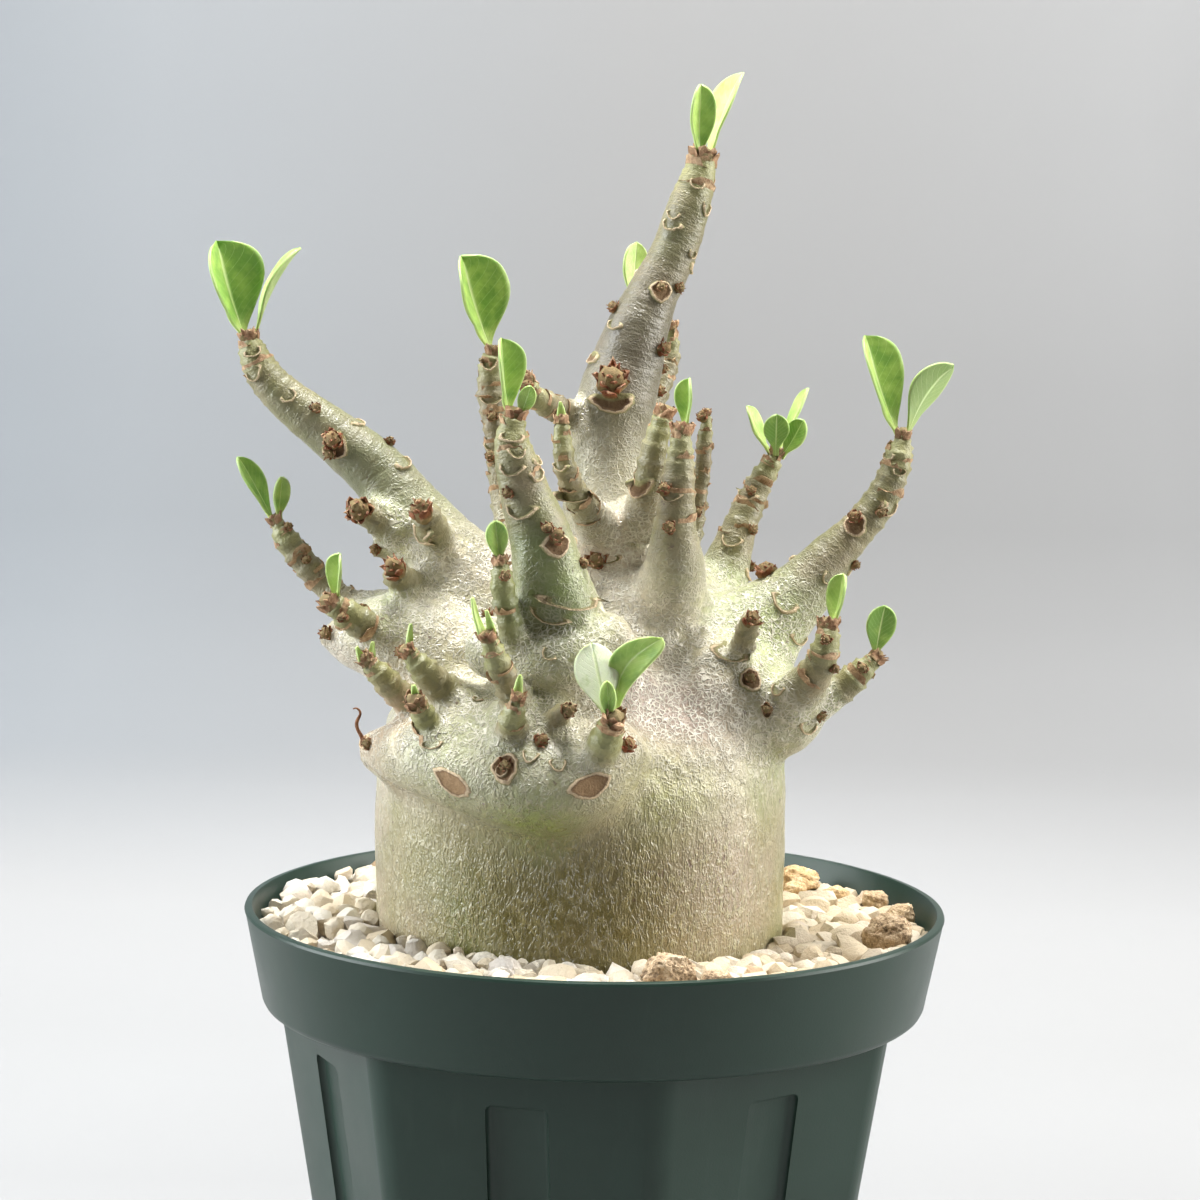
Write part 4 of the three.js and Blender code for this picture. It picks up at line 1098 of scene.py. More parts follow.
def add_bud(seat, size, tilt_up, red, blank=closed_bud, paper=0.0):
    """One bud on the skin, turned at random and ruffled."""
    if seat is None:
        return
    bud_corners, bud_faces, bud_tones = blank
    axis = (seat.out + seat.along * tilt_up).normalized()
    across = seat.along.cross(axis).normalized()
    other = axis.cross(across)
    base = len(all_corners)
    spin = dice.uniform(0, 6.28)
    ruffle = dice.uniform(0, 50)
    for x, y, z in bud_corners:
        u = x * math.cos(spin) - y * math.sin(spin)
        v = x * math.sin(spin) + y * math.cos(spin)
        shake = noise.noise(Vector((u * 3.4 + ruffle, v * 3.4, z * 3.4)))
        spread = 1 + 0.42 * shake
        point = seat.point + (across * u + other * v) * size * spread * MM
        all_corners.append(tuple(point + axis * (z + 0.15 * shake) * size * 0.95 * MM))
    all_faces.extend(tuple(base + i for i in face) for face in bud_faces)
    all_tones.extend(bud_tones)
    all_reds.extend([red] * len(bud_corners))
    all_papers.extend([paper] * len(bud_corners))


def add_collar(name, share, degrees, span, height, flare, red):
    """A torn papery scale that clasps a joint: a strip round part of the limb, its lip standing off."""
    columns = 10
    section = ((0.0, -0.4), (0.3, 0.1), (1.0, flare), (0.92, flare - 0.2), (0.35, -0.4))
    tear = dice.uniform(0, 50)
    rows = []
    for column in range(columns + 1):
        turn = column / columns - 0.5
        taper = max(0.2, math.cos(math.pi * turn)) ** 0.7
        ragged = taper * (1 + 0.6 * noise.noise(Vector((column * 0.8 + tear, 0.5, 0.5))))
        for lift, stand in section:
            way = share + lift * height * ragged / limb_length[name]
            seat = round_limb(name, min(way, 1), degrees + turn * span)
            if seat is None:
                return
            over = seat.along * (max(0.0, way - 1) * limb_length[name])
            away = seat.out * stand * (taper if stand > 0 else 1)
            rows.append((seat.point + (away + over) * MM, lift))
    base = len(all_corners)
    count = len(section)
    for point, lift in rows:
        all_corners.append(tuple(point))
        all_tones.append(lift)
        all_reds.append(red)
        all_papers.append(1)
    for column in range(columns):
        for k in range(count):
            here, there = base + column * count, base + (column + 1) * count
            following = (k + 1) % count
            all_faces.append((here + k, there + k, there + following, here + following))
    all_faces.append(tuple(base + k for k in range(count)))
    all_faces.append(tuple(base + columns * count + k for k in reversed(range(count))))


# seen in the photograph: place in it, size in millimetres, lean towards the tip and redness
seen_buds = [
    (612, 384, 5.6, 0.5, 0.7), (606, 378, 2.6, 0.9, 0.9), (661, 350, 2.8, 0.5, 0.8),
    (615, 309, 2.2, 0.5, 0.3), (661, 287, 1.7, 0.3, 0.2), (335, 440, 3.6, 0.3, 0.8),
    (331, 452, 2.4, 0.2, 0.2), (396, 441, 3.6, 0.7, 0.9), (360, 510, 4.4, 0.3, 0.5),
    (423, 514, 4.2, 0.8, 0.5), (397, 570, 4.0, 0.5, 0.7), (327, 634, 2.4, 0.0, 0.5),
    (492, 457, 2.2, 0.2, 0.2), (556, 538, 2.8, 0.5, 0.4), (597, 562, 3.2, 0.3, 0.5),
    (666, 491, 2.4, 0.4, 0.5), (670, 528, 2.2, 0.2, 0.5), (807, 532, 2.4, 0.5, 0.5),
    (766, 575, 3.6, 0.6, 0.5), (750, 621, 3.0, 0.6, 0.7), (855, 518, 2.4, 0.4, 0.9),
    (625, 746, 2.8, 0.3, 0.9), (540, 742, 2.4, 0.5, 0.8), (505, 766, 2.2, 0.3, 0.3),
    (748, 678, 2.2, 0.1, 0.2), (767, 709, 1.8, 0.0, 0.1), (377, 549, 2.0, 0.2, 0.6),
    (336, 402, 1.6, 0.5, 0.4), (432, 471, 1.6, 0.5, 0.2), (368, 744, 2.0, 0.8, 0.3),
    (568, 711, 2.6, 1.2, 0.2), (697, 512, 1.6, 0.3, 0.3), (560, 414, 2.0, 1.5, 0.4),
    (528, 388, 2.4, 0.8, 0.6), (659, 392, 2.0, 0.5, 0.8), (703, 418, 2.0, 1.6, 0.5),
    (366, 655, 2.2, 0.8, 0.6), (404, 652, 2.4, 0.8, 0.9), (820, 715, 1.8, 0.1, 0.1),
    (826, 640, 1.8, 0.4, 0.4), (833, 668, 1.8, 0.2, 0.3), (862, 668, 1.9, 0.4, 0.2),
    (306, 560, 1.7, 0.2, 0.3), (288, 528, 1.7, 0.2, 0.4), (345, 618, 2.0, 0.6, 0.3),
    (500, 643, 1.8, 0.6, 0.7), (488, 615, 1.8, 0.6, 0.6), (505, 576, 1.8, 0.6, 0.3),
    (611, 716, 2.0, 0.6, 0.5),
]
bud_fullness = 1.15
for across, down, size, lean, red in seen_buds:
    add_bud(seen_at(across, down), size * bud_fullness, lean, red)
for index, name in enumerate(("rear_left_limb", "rear_middle_limb", "rear_right_limb", "trunk", "long_left",
                              "big_right", "back_left_stem", "back_right_stem", "front_stem", "rear_boss")):
    for step in range(3):
        degrees = 150 + golden_angle * step * 0.4 + 17 * index
        add_bud(round_limb(name, 0.4 + 0.18 * step, degrees), 2.2, 0.4, 0.3)

# every twig ends in a crown of pointed scales round its leaves, with torn collars at the joints below
def twig_end(route):
    """Where a twig ends, in millimetres, and the direction in which it ends."""
    return Vector(route[-1, :3]), Vector(route[-1, :3] - route[-4, :3]).normalized()


slender_tip = 2.35
collar_reach = {"trunk": 4.4, "long_left": 4.0, "front_stem": 4.8, "big_right": 3.7}
for index, name in enumerate(leading_limbs):
    route = routes[name]
    end, along = twig_end(route)
    tip_radius = route[-1, 3]
    crown = Seat((end + along * 0.1 * tip_radius) * MM, along, facing(along))
    width = tip_radius * (1.9 if tip_radius < slender_tip else 1.75)
    add_bud(crown, width, 0, dice.uniform(0.1, 0.6), tip_crown, 0.55)
    way = limb_length[name] - 0.6
    degrees = 61 * index + dice.uniform(0, 60)
    while way > 0.3 * limb_length[name]:
        share = way / limb_length[name]
        radius = radius_at(route, share)
        if radius > collar_reach.get(name, 4.6):
            break
        span = dice.uniform(80, 200)
        height = dice.uniform(0.8, 1.7) + 0.12 * radius
        add_collar(name, share, degrees, span, height, dice.uniform(0.25, 0.75), dice.uniform(0, 0.7))
        way -= dice.uniform(0.8, 1.2) * (0.9 + 0.42 * radius)
        degrees += golden_angle

buds = piece_from("dry_buds", all_corners, all_faces, tip=all_tones, red=all_reds, paper=all_papers)
with editing(buds):
    bpy.ops.mesh.normals_make_consistent(inside=False)
bpy.ops.object.shade_smooth_by_angle(angle=math.radians(50))

papery, shader = surface("dry_bud_scales", Roughness=0.75, Specular_IOR_Level=0.3)
spot = place_on_piece(shader)
flaky = between(pattern(spot, 700, 4, 0.6), 0.3, 0.7)
brown = layered(flaky, (0.085, 0.034, 0.014), (0.31, 0.155, 0.07))
reddish = layered(flaky, (0.13, 0.025, 0.012), (0.40, 0.12, 0.05))
dry = layered(field(shader, "red"), brown, reddish)
torn = layered(flaky, (0.24, 0.13, 0.062), (0.64, 0.46, 0.28))
dry = layered(times(field(shader, "paper"), 0.9), dry, torn)
foot_share = between(field(shader, "tip"), 0.0, 0.3, 0.7, 0)
dry = layered(foot_share, dry, (0.20, 0.175, 0.075))
edge = times(between(field(shader, "tip"), 0.62, 1.0), between(flaky, 0.3, 0.7, 0, 0.75))
feed(shader.inputs["Base Color"], layered(edge, dry, (0.50, 0.36, 0.22)))
relief(shader, flaky, 0.4 * MM, 0.6)
dress(buds, papery)
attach(buds, "root")

# a dried thread, the rest of an old flower stalk, curls up from the horn on the left
horn_seat = seen_at(366, 747)
thread = round_curve(0.42 * MM, 2)
thread.name = "dried_thread"
spline = thread.data.splines.new("NURBS")
thread_path = [(367, 750, 0.8), (364, 742, 1.2), (361, 735, 1), (357, 729, 0.8), (356, 722, 1),
               (360, 716, 0.7), (361, 711, 0.6), (356, 707, 0.5), (353, 709, 0.3)]
spline.points.add(len(thread_path) - 1)
for point, (across, down, thick) in zip(spline.points, thread_path):
    ray = sight_line(across, down)
    point.co = (*(camera_place + ray * ((horn_seat.point.y - camera_place.y) / ray.y)), 1)
    point.radius = thick
spline.use_endpoint_u = True
spline.resolution_u = 4
only(thread)
bpy.ops.object.convert(target="MESH")
thread = bpy.context.object
settle(thread)
bpy.ops.object.shade_smooth()
for name, value in (("tip", 0.4), ("red", 0.3), ("paper", 0.1)):
    store(thread.data, name, np.full(len(thread.data.vertices), value))
dress(thread, papery)
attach(thread, "root")


# The leaves are thick, smooth and short-stalked, folded along a pale midrib, bright green above with a
# pale edge and dull grey-green below. Each grows from the tip of its own twig.

# a leaf's row says: name, twig, foot to the right of the twig and behind it, tip, width, the way it faces,
# fold, arch and tone. Lengths are in millimetres and angles in degrees.
leaves = [
    ("trunk_front_leaf", "trunk", -0.2, -1.3, (19.3, 0, 297.4), 7.5, 25, 38, 1, 0.5),
    ("trunk_back_leaf", "trunk", 1.4, 1.2, (28.1, 8, 300.6), 9.6, -62, 24, -0.6, 0.3),
    ("long_left_leaf_wide", "long_left", -0.8, -0.4, (-81.2, -6, 263.2), 17.2, 44, 36, 1, 0.85),
    ("long_left_leaf_narrow", "long_left", 1, 0.5, (-64.3, -3, 262.2), 7.6, -78, 25, -1.2, 0.6),
    ("back_left_leaf", "back_left_stem", 0, 0, (-31, 15, 260.8), 18, 42, 40, 1, 0.7),
    ("front_stem_leaf", "front_stem", -0.8, 0.2, (-20.4, -42, 245.3), 10, 45, 45, 0.8, 0.6),
    ("front_stem_leaflet", "front_stem", 1.3, -0.5, (-14.4, -44, 236), 3.6, 0, 15, 0.5, 0.6),
    ("inner_twig_leaf", "inner_twig", 0, 0, (-8.7, -32, 232.4), 2.6, 0, 20, 0.3, 0.2),
    ("right_front_leaf", "right_front_stem", 0.2, 0, (17.2, -27, 237.4), 6.4, -45, 45, 1, 0.6),
    ("back_right_leaf_low", "back_right_stem", -1.3, -0.1, (30.8, 7, 230), 5.4, 60, 20, 0.6, 0.4),
    ("back_right_leaf_front", "back_right_stem", 0.2, -1.4, (37, 5, 228.4), 5.6, 0, 12, 0.5, 0.9),
    ("back_right_leaf_side", "back_right_stem", 1.7, -0.2, (42.9, 7.6, 227.2), 5.6, -30, 20, 0.6, 0.7),
    ("back_right_leaf_tall", "back_right_stem", 0.1, 1.7, (44, 16, 233.8), 4.2, -65, 25, 0.6, 0.4),
    ("big_right_leaf_wide", "big_right", -0.7, -0.3, (54.4, -8, 246), 13, 42, 38, 1, 0.6),
    ("big_right_leaf_side", "big_right", 0.9, 0.3, (72.9, -6, 240.3), 9.6, -135, 15, -1, 1.0),
    ("right_upper_leaf", "right_upper_twig", 0.2, 0, (49.3, -31, 198.4), 6.4, -45, 40, 1, 0.5),
    ("right_lower_leaf", "right_lower_twig", 0.2, 0, (58.6, -24, 191.2), 6.4, 8, 12, 0.5, 0.8),
    ("left_upper_leaf_long", "left_upper_twig", -0.8, 0.3, (-76.6, -6, 218.2), 7, 62, 20, 0.6, 0.8),
    ("left_upper_leaf_short", "left_upper_twig", 0.6, -0.3, (-67.2, -7, 214.2), 4.6, 30, 35, 0.6, 0.6),
    ("left_lower_leaf", "left_lower_twig", 0, 0, (-53.4, -28, 200.4), 6.6, -45, 45, 1, 0.5),
    ("left_front_leaf_a", "left_front_twig", -1.1, 0, (-48.8, -38, 182.6), 2.4, 30, 20, 0.2, 0.2),
    ("left_front_leaf_b", "left_front_twig", 1, 0.1, (-45.8, -37, 183.6), 2.2, -20, 20, 0.2, 0.2),
    ("left_inner_leaf", "left_inner_twig", 0, 0, (-37.7, -42, 188), 2.8, 40, 30, 0.3, 0.3),
    ("left_stub_leaf", "left_stub", 0, 0, (-36.8, -48, 176.4), 2.6, 0, 25, 0.2, 0.2),
    ("middle_twig_leaf", "middle_twig", -0.3, 0, (-21, -47, 209.4), 4.8, 5, 25, 0.4, 0.6),
    ("low_middle_leaf_a", "low_middle_twig", -1, 0, (-25, -55, 195), 2.6, 40, 20, 0.6, 0.2),
    ("low_middle_leaf_b", "low_middle_twig", 1, -0.1, (-22.2, -56, 192.6), 2.3, 0, 20, 0.3, 0.2),
    ("short_front_leaf", "short_front_twig", 0, 0, (-15.4, -56, 180), 2.8, 0, 30, 0.3, 0.3),
    ("front_right_leaf_pale", "front_right_twig", -1.4, 0.6, (-1.6, -54, 186.2), 9, -165, 12, 0.8, 0),
    ("front_right_leaf_green", "front_right_twig", 1.3, 0.3, (12.3, -58, 188), 7.4, -12, 18, 2.6, 0.5),
    ("front_right_bract", "front_right_twig", -0.2, -1.3, (1.6, -60, 179.6), 3.4, 0, 25, 0.4, 0.6),
    ("back_trunk_leaf", "back_trunk_twig", 0, 0, (6.6, 19, 264.4), 6.4, 30, 12, 0.8, 0.3),
    ("rear_left_leaf_a", "rear_left_limb", -0.7, 0.2, (-50, 49, 199), 6.4, 100, 20, 1.4, 0.6),
    ("rear_left_leaf_b", "rear_left_limb", 0.7, 0.3, (-37, 53, 199.6), 5.4, 200, 20, 1, 0.5),
    ("rear_middle_leaf_a", "rear_middle_limb", -0.7, 0.2, (1, 57, 201), 6.4, 170, 22, 1.2, 0.7),
    ("rear_middle_leaf_b", "rear_middle_limb", 0.8, 0.2, (16, 56, 200), 5.2, 230, 20, 1, 0.5),
    ("rear_right_leaf", "rear_right_limb", 0.2, 0.3, (52, 45, 197), 6.6, 220, 22, 1.4, 0.6),
]
blade_thickness = 0.5
stalk_width = 1.3
foot_crowding = 0.85
pointed_below = 3
sideways_sweep = {"front_right_leaf_green": -4.2, "left_upper_leaf_long": 1.0, "big_right_leaf_side": 0.8}
tip_notch = {"long_left_leaf_wide": 0.07, "back_left_leaf": 0.06, "front_right_leaf_pale": 0.09,
             "front_stem_leaf": 0.05, "big_right_leaf_side": 0.05}


def half_width(share, width):
    """Small leaves are pointed; large ones widen up to two thirds of their length and end round."""
    if width < pointed_below:
        return width * (0.09 + 0.36 * (1 - share) ** 0.7 * min(1, 0.6 + 1.6 * share))
    widest = 0.64
    if share < widest:
        blade = math.sin(math.pi / 2 * (share / widest) ** 1.2) ** 1.3
    else:
        blade = (1 - ((share - widest) / (1 - widest)) ** 2.4) ** 0.62
    stalk = stalk_width / 2 * (1 - ease(share, 0.5, 1))
    return max(stalk, blade * width / 2, 0.12)


def leaf_material(name, stops, margin, vein, roughness):
    material, shader = surface(name, Subsurface_Weight=0.12, Subsurface_Scale=2 * MM,
                               Subsurface_Radius=(0.6, 1.0, 0.2), Roughness=roughness)
    spot = place_on_piece(shader)
    mapped = shader.id_data.nodes.new("ShaderNodeUVMap")
    mapped.uv_map = "blade"
    way = axis_of(mapped.outputs[0], "Y")
    from_rib = maths("ABSOLUTE", plus(axis_of(mapped.outputs[0], "X"), -0.5))
    mottle = pattern(spot, 300, 3)
    fine = pattern(spot, 1800, 2)
    colour = tones(plus(times(mottle, 0.6), times(field(shader, "tone"), 0.4)), *stops)
    waves = maths("ABSOLUTE", maths("SINE", times(plus(way, times(from_rib, -0.55)), 34)))
    side_veins = between(waves, 0.0, 0.16, 0.35, 0)
    rib = between(from_rib, 0.012, 0.045, 0.85, 0)
    colour = layered(side_veins, colour, vein)
    colour = layered(rib, colour, vein)
    colour = layered(between(from_rib, 0.45, 0.495, 0, 0.7), colour, margin)
    colour = layered(between(way, 0.02, 0.3, 0.75, 0), colour, (0.46, 0.56, 0.17))
    feed(shader.inputs["Base Color"], colour)
    relief(shader, plus(times(plus(side_veins, rib), -0.5), times(fine, 0.25)), 0.4 * MM, 0.6)
    return material


upper_side = leaf_material("leaf_upper_side", ((0.36, (0.54, 0.68, 0.22)), (0.5, (0.40, 0.56, 0.13)),
                                               (0.66, (0.21, 0.37, 0.07))), (0.48, 0.62, 0.24),
                           (0.64, 0.76, 0.34), 0.4)
under_side = leaf_material("leaf_under_side", ((0.33, (0.70, 0.76, 0.54)), (0.45, (0.42, 0.52, 0.21)),
                                               (0.62, (0.26, 0.36, 0.12))), (0.58, 0.66, 0.32),
                           (0.56, 0.66, 0.34), 0.5)

across_steps = 14
along_steps = 26
for name, limb, right_step, back_step, tip, width, face, fold, arch, tone in leaves:
    end, along = twig_end(routes[limb])
    front = facing(along)
    start = end + along * 0.05 + (along.cross(front) * right_step - front * back_step) * foot_crowding
    way = Vector(tip) - start
    length = way.length
    way.normalize()
    front = facing(way)
    angle = math.radians(face)
    normal = front * math.cos(angle) + way.cross(front) * math.sin(angle)
    across = way.cross(normal)
    bpy.ops.mesh.primitive_grid_add(x_subdivisions=across_steps, y_subdivisions=along_steps, size=2)
    leaf = bpy.context.object
    leaf.name = name + "_blade"
    leaf.data.uv_layers[0].name = "blade"
    ripple = sum(map(ord, name)) % 17
    for vertex in leaf.data.vertices:
        side, share = vertex.co.x, (vertex.co.y + 1) / 2
        reach = half_width(share, width)
        ramp = min(1, share * 3)
        bend = math.radians(fold) * ramp * (0.82 + 0.18 * abs(side))
        gutter = math.sqrt((side * reach) ** 2 + 0.09) - 0.3
        depth = gutter * math.sin(bend)
        lateral = side * reach * math.cos(bend)
        bow = arch * math.sin(math.pi * share)
        wave = 0.02 * width * math.sin(9 * share + ripple + 2 * side) * side ** 2 * ramp
        curl = -0.35 * length * max(0, share - 0.8) ** 2
        lateral += sideways_sweep.get(name, 0) * math.sin(math.pi * share)
        notch = tip_notch.get(name, 0) * length * math.exp(-(side / 0.3) ** 2) * max(0, share - 0.8) / 0.2
        rise = way * (share * length - notch)
        vertex.co = (start + rise + across * lateral + normal * (depth - bow + wave + curl)) * MM
    dress(leaf, upper_side, under_side)
    store(leaf.data, "tone", np.full(len(leaf.data.vertices), tone))
    apply_modifier(leaf, "SOLIDIFY", thickness=blade_thickness * MM, offset=0, material_offset=1,
                   material_offset_rim=0, use_rim=True)
    bpy.ops.object.shade_smooth()
    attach(leaf, "root")
    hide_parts(name)


# The dressing is washed white pumice, small and rounded on the left, larger and more broken on the
# right. The grains lie two or three deep on the mix, heaped towards the stem, and touch without sinking in.
mix_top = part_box("potting_mix")[1].z / MM
stem_middle = Vector((-3.2, -7))
stem_reach = 43.2
pot_reach = 72.2
grain_total = 760
grain_kinds = 12
# grains settle turn by turn: they push apart until they touch, and sink a little each time
settling_turns = 90
touching = 0.88
grain_push, stone_push, sinking = 0.32, 0.5, 0.03


def dressing_top(x, y):
    """Height of the dressing, in millimetres."""
    near = np.clip((pot_reach - np.hypot(x, y)) / 25, 0, 1)
    left = np.clip(-x / 50, -0.4, 1)
    front = np.clip(-y / 60, 0, 1)
    return 118.2 + near * (1.0 + 1.0 * left) + 2.3 * front + 3.2 * np.clip(left, 0, 1) * (1 - 0.55 * front)


numbers = np.random.default_rng(20)
angle = numbers.uniform(0, 2 * math.pi, grain_total)
spread = np.sqrt(numbers.uniform(40.0 ** 2, pot_reach ** 2, grain_total))
spots = np.stack([spread * np.cos(angle), spread * np.sin(angle)], 1)
rightness = ease(spots[:, 0], -20, 50)
radii = numbers.choice([1.5, 2.3, 2.9, 3.6], grain_total, p=[0.16, 0.38, 0.32, 0.14])
radii *= numbers.uniform(0.88, 1.12, grain_total) * (1 + 0.3 * rightness)
depth = numbers.choice([0.0, 0.9, 1.9], grain_total, p=[0.52, 0.28, 0.2])
balls = np.column_stack([spots, dressing_top(*spots.T) - radii * (0.75 + depth)])

# the larger grains seen in the photograph: place in it and radius in millimetres
seen_grains = [
    (370, 916, 3.2), (432, 945, 4.0), (374, 939, 3.2), (300, 929, 2.8), (499, 958, 4.6), (537, 965, 3.7),
    (559, 970, 3.6), (588, 972, 3.8), (475, 955, 3.2), (456, 948, 2.8), (419, 962, 3.0), (341, 951, 3.2),
    (614, 974, 4.2), (662, 974, 4.4), (734, 966, 4.2), (778, 952, 3.6), (809, 953, 3.8), (840, 955, 3.6),
    (826, 922, 5.0), (799, 910, 4.2), (785, 903, 3.6), (862, 910, 5.0), (842, 903, 4.2), (778, 932, 3.4),
    (760, 957, 3.2), (700, 976, 3.4), (394, 930, 3.4), (331, 900, 3.2), (350, 880, 3.0), (311, 905, 3.0),
]
typical_level = 120.5
for index, (across, down, radius) in enumerate(seen_grains):
    ray = sight_line(across, down)
    level = typical_level
    for turn in range(3):
        reach = (level * MM - camera_place.z) / ray.z
        point = (camera_place + ray * reach) / MM
        level = float(dressing_top(point.x, point.y)) - 0.35 * radius
    balls[index] = (point.x, point.y, level)
    radii[index] = radius
stones = [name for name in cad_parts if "stone" in name or name.endswith("chip")]
kept_clear = []
for name in stones:
    low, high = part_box(name)
    middle = (low + high) / 2 / MM
    kept_clear.append((*middle, max((high - low).x, (high - low).y) / 2 / MM))
kept_clear = np.array(kept_clear)


def shove(others, reach, apart):
    """How far overlaps with others push each grain, for a reach between every two middles."""
    gap = balls[:, None] - others[None]
    away = np.sqrt((gap ** 2).sum(2)) + apart
    lap = np.clip(reach - away, 0, None)
    return (gap / away[..., None] * lap[..., None]).sum(1)


not_itself = np.eye(grain_total) * 1e3
for turn in range(settling_turns):
    balls += shove(balls, touching * (radii[:, None] + radii[None]), not_itself) * grain_push
    balls += shove(kept_clear[:, :3], radii[:, None] + kept_clear[None, :, 3], 1e-6) * stone_push
    top = dressing_top(balls[:, 0], balls[:, 1]) - radii * 0.7
    balls[:, 2] += np.where(balls[:, 2] > top, 0.5 * (top - balls[:, 2]), -sinking)
    balls[:, 2] = np.maximum(balls[:, 2], mix_top + radii * 0.6)
    reach = np.hypot(balls[:, 0], balls[:, 1])
    shrink = np.minimum(1, (pot_reach - radii * 1.15) / reach)
    balls[:, :2] *= shrink[:, None]
    offset = balls[:, :2] - np.array(stem_middle)
    reach = np.hypot(offset[:, 0], offset[:, 1])
    grow = np.maximum(1, (stem_reach + radii * 0.9) / reach)
    balls[:, :2] = np.array(stem_middle) + offset * grow[:, None]


def chipped(shape, dice, sides, nearest, furthest, bite=1):
    """A round shape with flat faces broken off it at random distances from its middle."""
    for side in range(sides):
        flat = dice.normal(size=3)
        flat /= np.linalg.norm(flat)
        reach = dice.uniform(nearest, furthest)
        shape = shape - np.clip(shape @ flat - reach, 0, None)[:, None] * flat * bite
    return shape


grain_shapes = []
for kind in range(grain_kinds):
    bpy.ops.mesh.primitive_ico_sphere_add(subdivisions=2, radius=1.08)
    pebble = bpy.context.object
    cuts = np.random.default_rng(300 + kind)
    shape = chipped(corners_of(pebble.data), cuts, 9, 0.48, 0.88)
    shape += cuts.normal(size=shape.shape) * 0.03
    grain_shapes.append((shape, [tuple(p.vertices) for p in pebble.data.polygons]))
    bpy.data.objects.remove(pebble)

grain_corners, grain_faces, grain_tones = [], [], []
for index, (x, y, z) in enumerate(balls):
    shape, faces = grain_shapes[index % len(grain_shapes)]
    turn = Matrix.Rotation(numbers.uniform(0, 6.28), 3, "Z")
    turn = turn @ Matrix.Rotation(numbers.uniform(0, 6.28), 3, "X")
    size = radii[index] * numbers.uniform((1.08, 0.88, 0.8), (1.42, 1.16, 1.05))
    placed = (shape * size) @ np.array(turn).T + (x, y, z)
    out = np.hypot(placed[:, 0], placed[:, 1])
    placed[:, :2] *= np.minimum(1, (pot_reach - 0.4) / out)[:, None]
    base = len(grain_corners)
    grain_corners.extend(map(tuple, placed * MM))
    grain_faces.extend(tuple(base + i for i in face) for face in faces)
    grain_tones.extend([numbers.uniform() ** (1 + 0.7 * ease(x, 0, 50))] * len(shape))
grains = piece_from("pumice_grains", grain_corners, grain_faces, tone=grain_tones)
bpy.ops.object.shade_smooth_by_angle(angle=math.radians(36))

pumice, shader = surface("white_pumice", Roughness=0.55)
spot = place_on_piece(shader)
pores = pattern(spot, 1100, 4, 0.62)
stain = pattern(spot, 150, 3)
tone_share = field(shader, "tone")
white = tones(tone_share, (0.0, (0.60, 0.49, 0.33)), (0.25, (0.70, 0.62, 0.48)),
              (0.72, (0.82, 0.78, 0.69)), (0.9, (0.66, 0.61, 0.56)), (0.965, (0.66, 0.54, 0.38)),
              (1.0, (0.60, 0.36, 0.19)))
white = layered(between(stain, 0.54, 0.74, 0, 0.5), white, (0.72, 0.58, 0.40))
to_the_right = between(axis_of(spot, "X"), -10 * MM, 60 * MM, 0.12, 0.62)
white = layered(to_the_right, white, (0.50, 0.40, 0.26))
white = layered(between(pores, 0.62, 0.74, 0, 0.55), white, (0.42, 0.34, 0.26))
feed(shader.inputs["Base Color"], white)
relief(shader, pores, 0.6 * MM, 0.7)
dress(grains, pumice)
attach(grains, "root")

bpy.ops.mesh.primitive_circle_add(vertices=96, radius=(pot_reach + 0.2) * MM, fill_type="NGON",
                                  location=(0, 0, (mix_top + 1.1) * MM))
bed = bpy.context.object
settle(bed)
bed.name = "pumice_bed"
with editing(bed):
    for ring in range(5):
        bpy.ops.mesh.inset(thickness=6 * MM)
apply_modifier(bed, "SOLIDIFY", thickness=1 * MM, offset=-1)
for vertex in bed.data.vertices:
    if vertex.co.z > (mix_top + 0.6) * MM:
        bumpy = noise.noise(vertex.co / MM * 0.5) + noise.noise(vertex.co / MM * 1.3)
        vertex.co.z += 0.35 * bumpy * MM
fines, shader = surface("pumice_fines", Roughness=0.95)
spot = place_on_piece(shader)
crumbs = pattern(spot, 520, 5, 0.7)
feed(shader.inputs["Base Color"], tones(crumbs, (0.35, (0.30, 0.24, 0.17)), (0.6, (0.62, 0.53, 0.41))))
relief(shader, crumbs, 1.2 * MM, 0.9)
dress(bed, fines)
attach(bed, "root")
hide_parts("pumice_dressing")


# The brown and ochre stones are pieces of fired clay and scoria among the pumice: rough, pitted and
# broken on all sides. Each fills the place of its solid and rests among the grains.
def stone_material(name, dark, mid, light):
    material, shader = surface(name, Roughness=0.92)
    spot = place_on_piece(shader)
    coarse = pattern(spot, 330, 5, 0.65)
    fine = pattern(spot, 1400, 3, 0.6)
    mixed = plus(times(coarse, 0.6), times(fine, 0.4))
    feed(shader.inputs["Base Color"], tones(mixed, (0.36, dark), (0.5, mid), (0.64, light)))
    relief(shader, mixed, 1.2 * MM, 0.9)
    return material


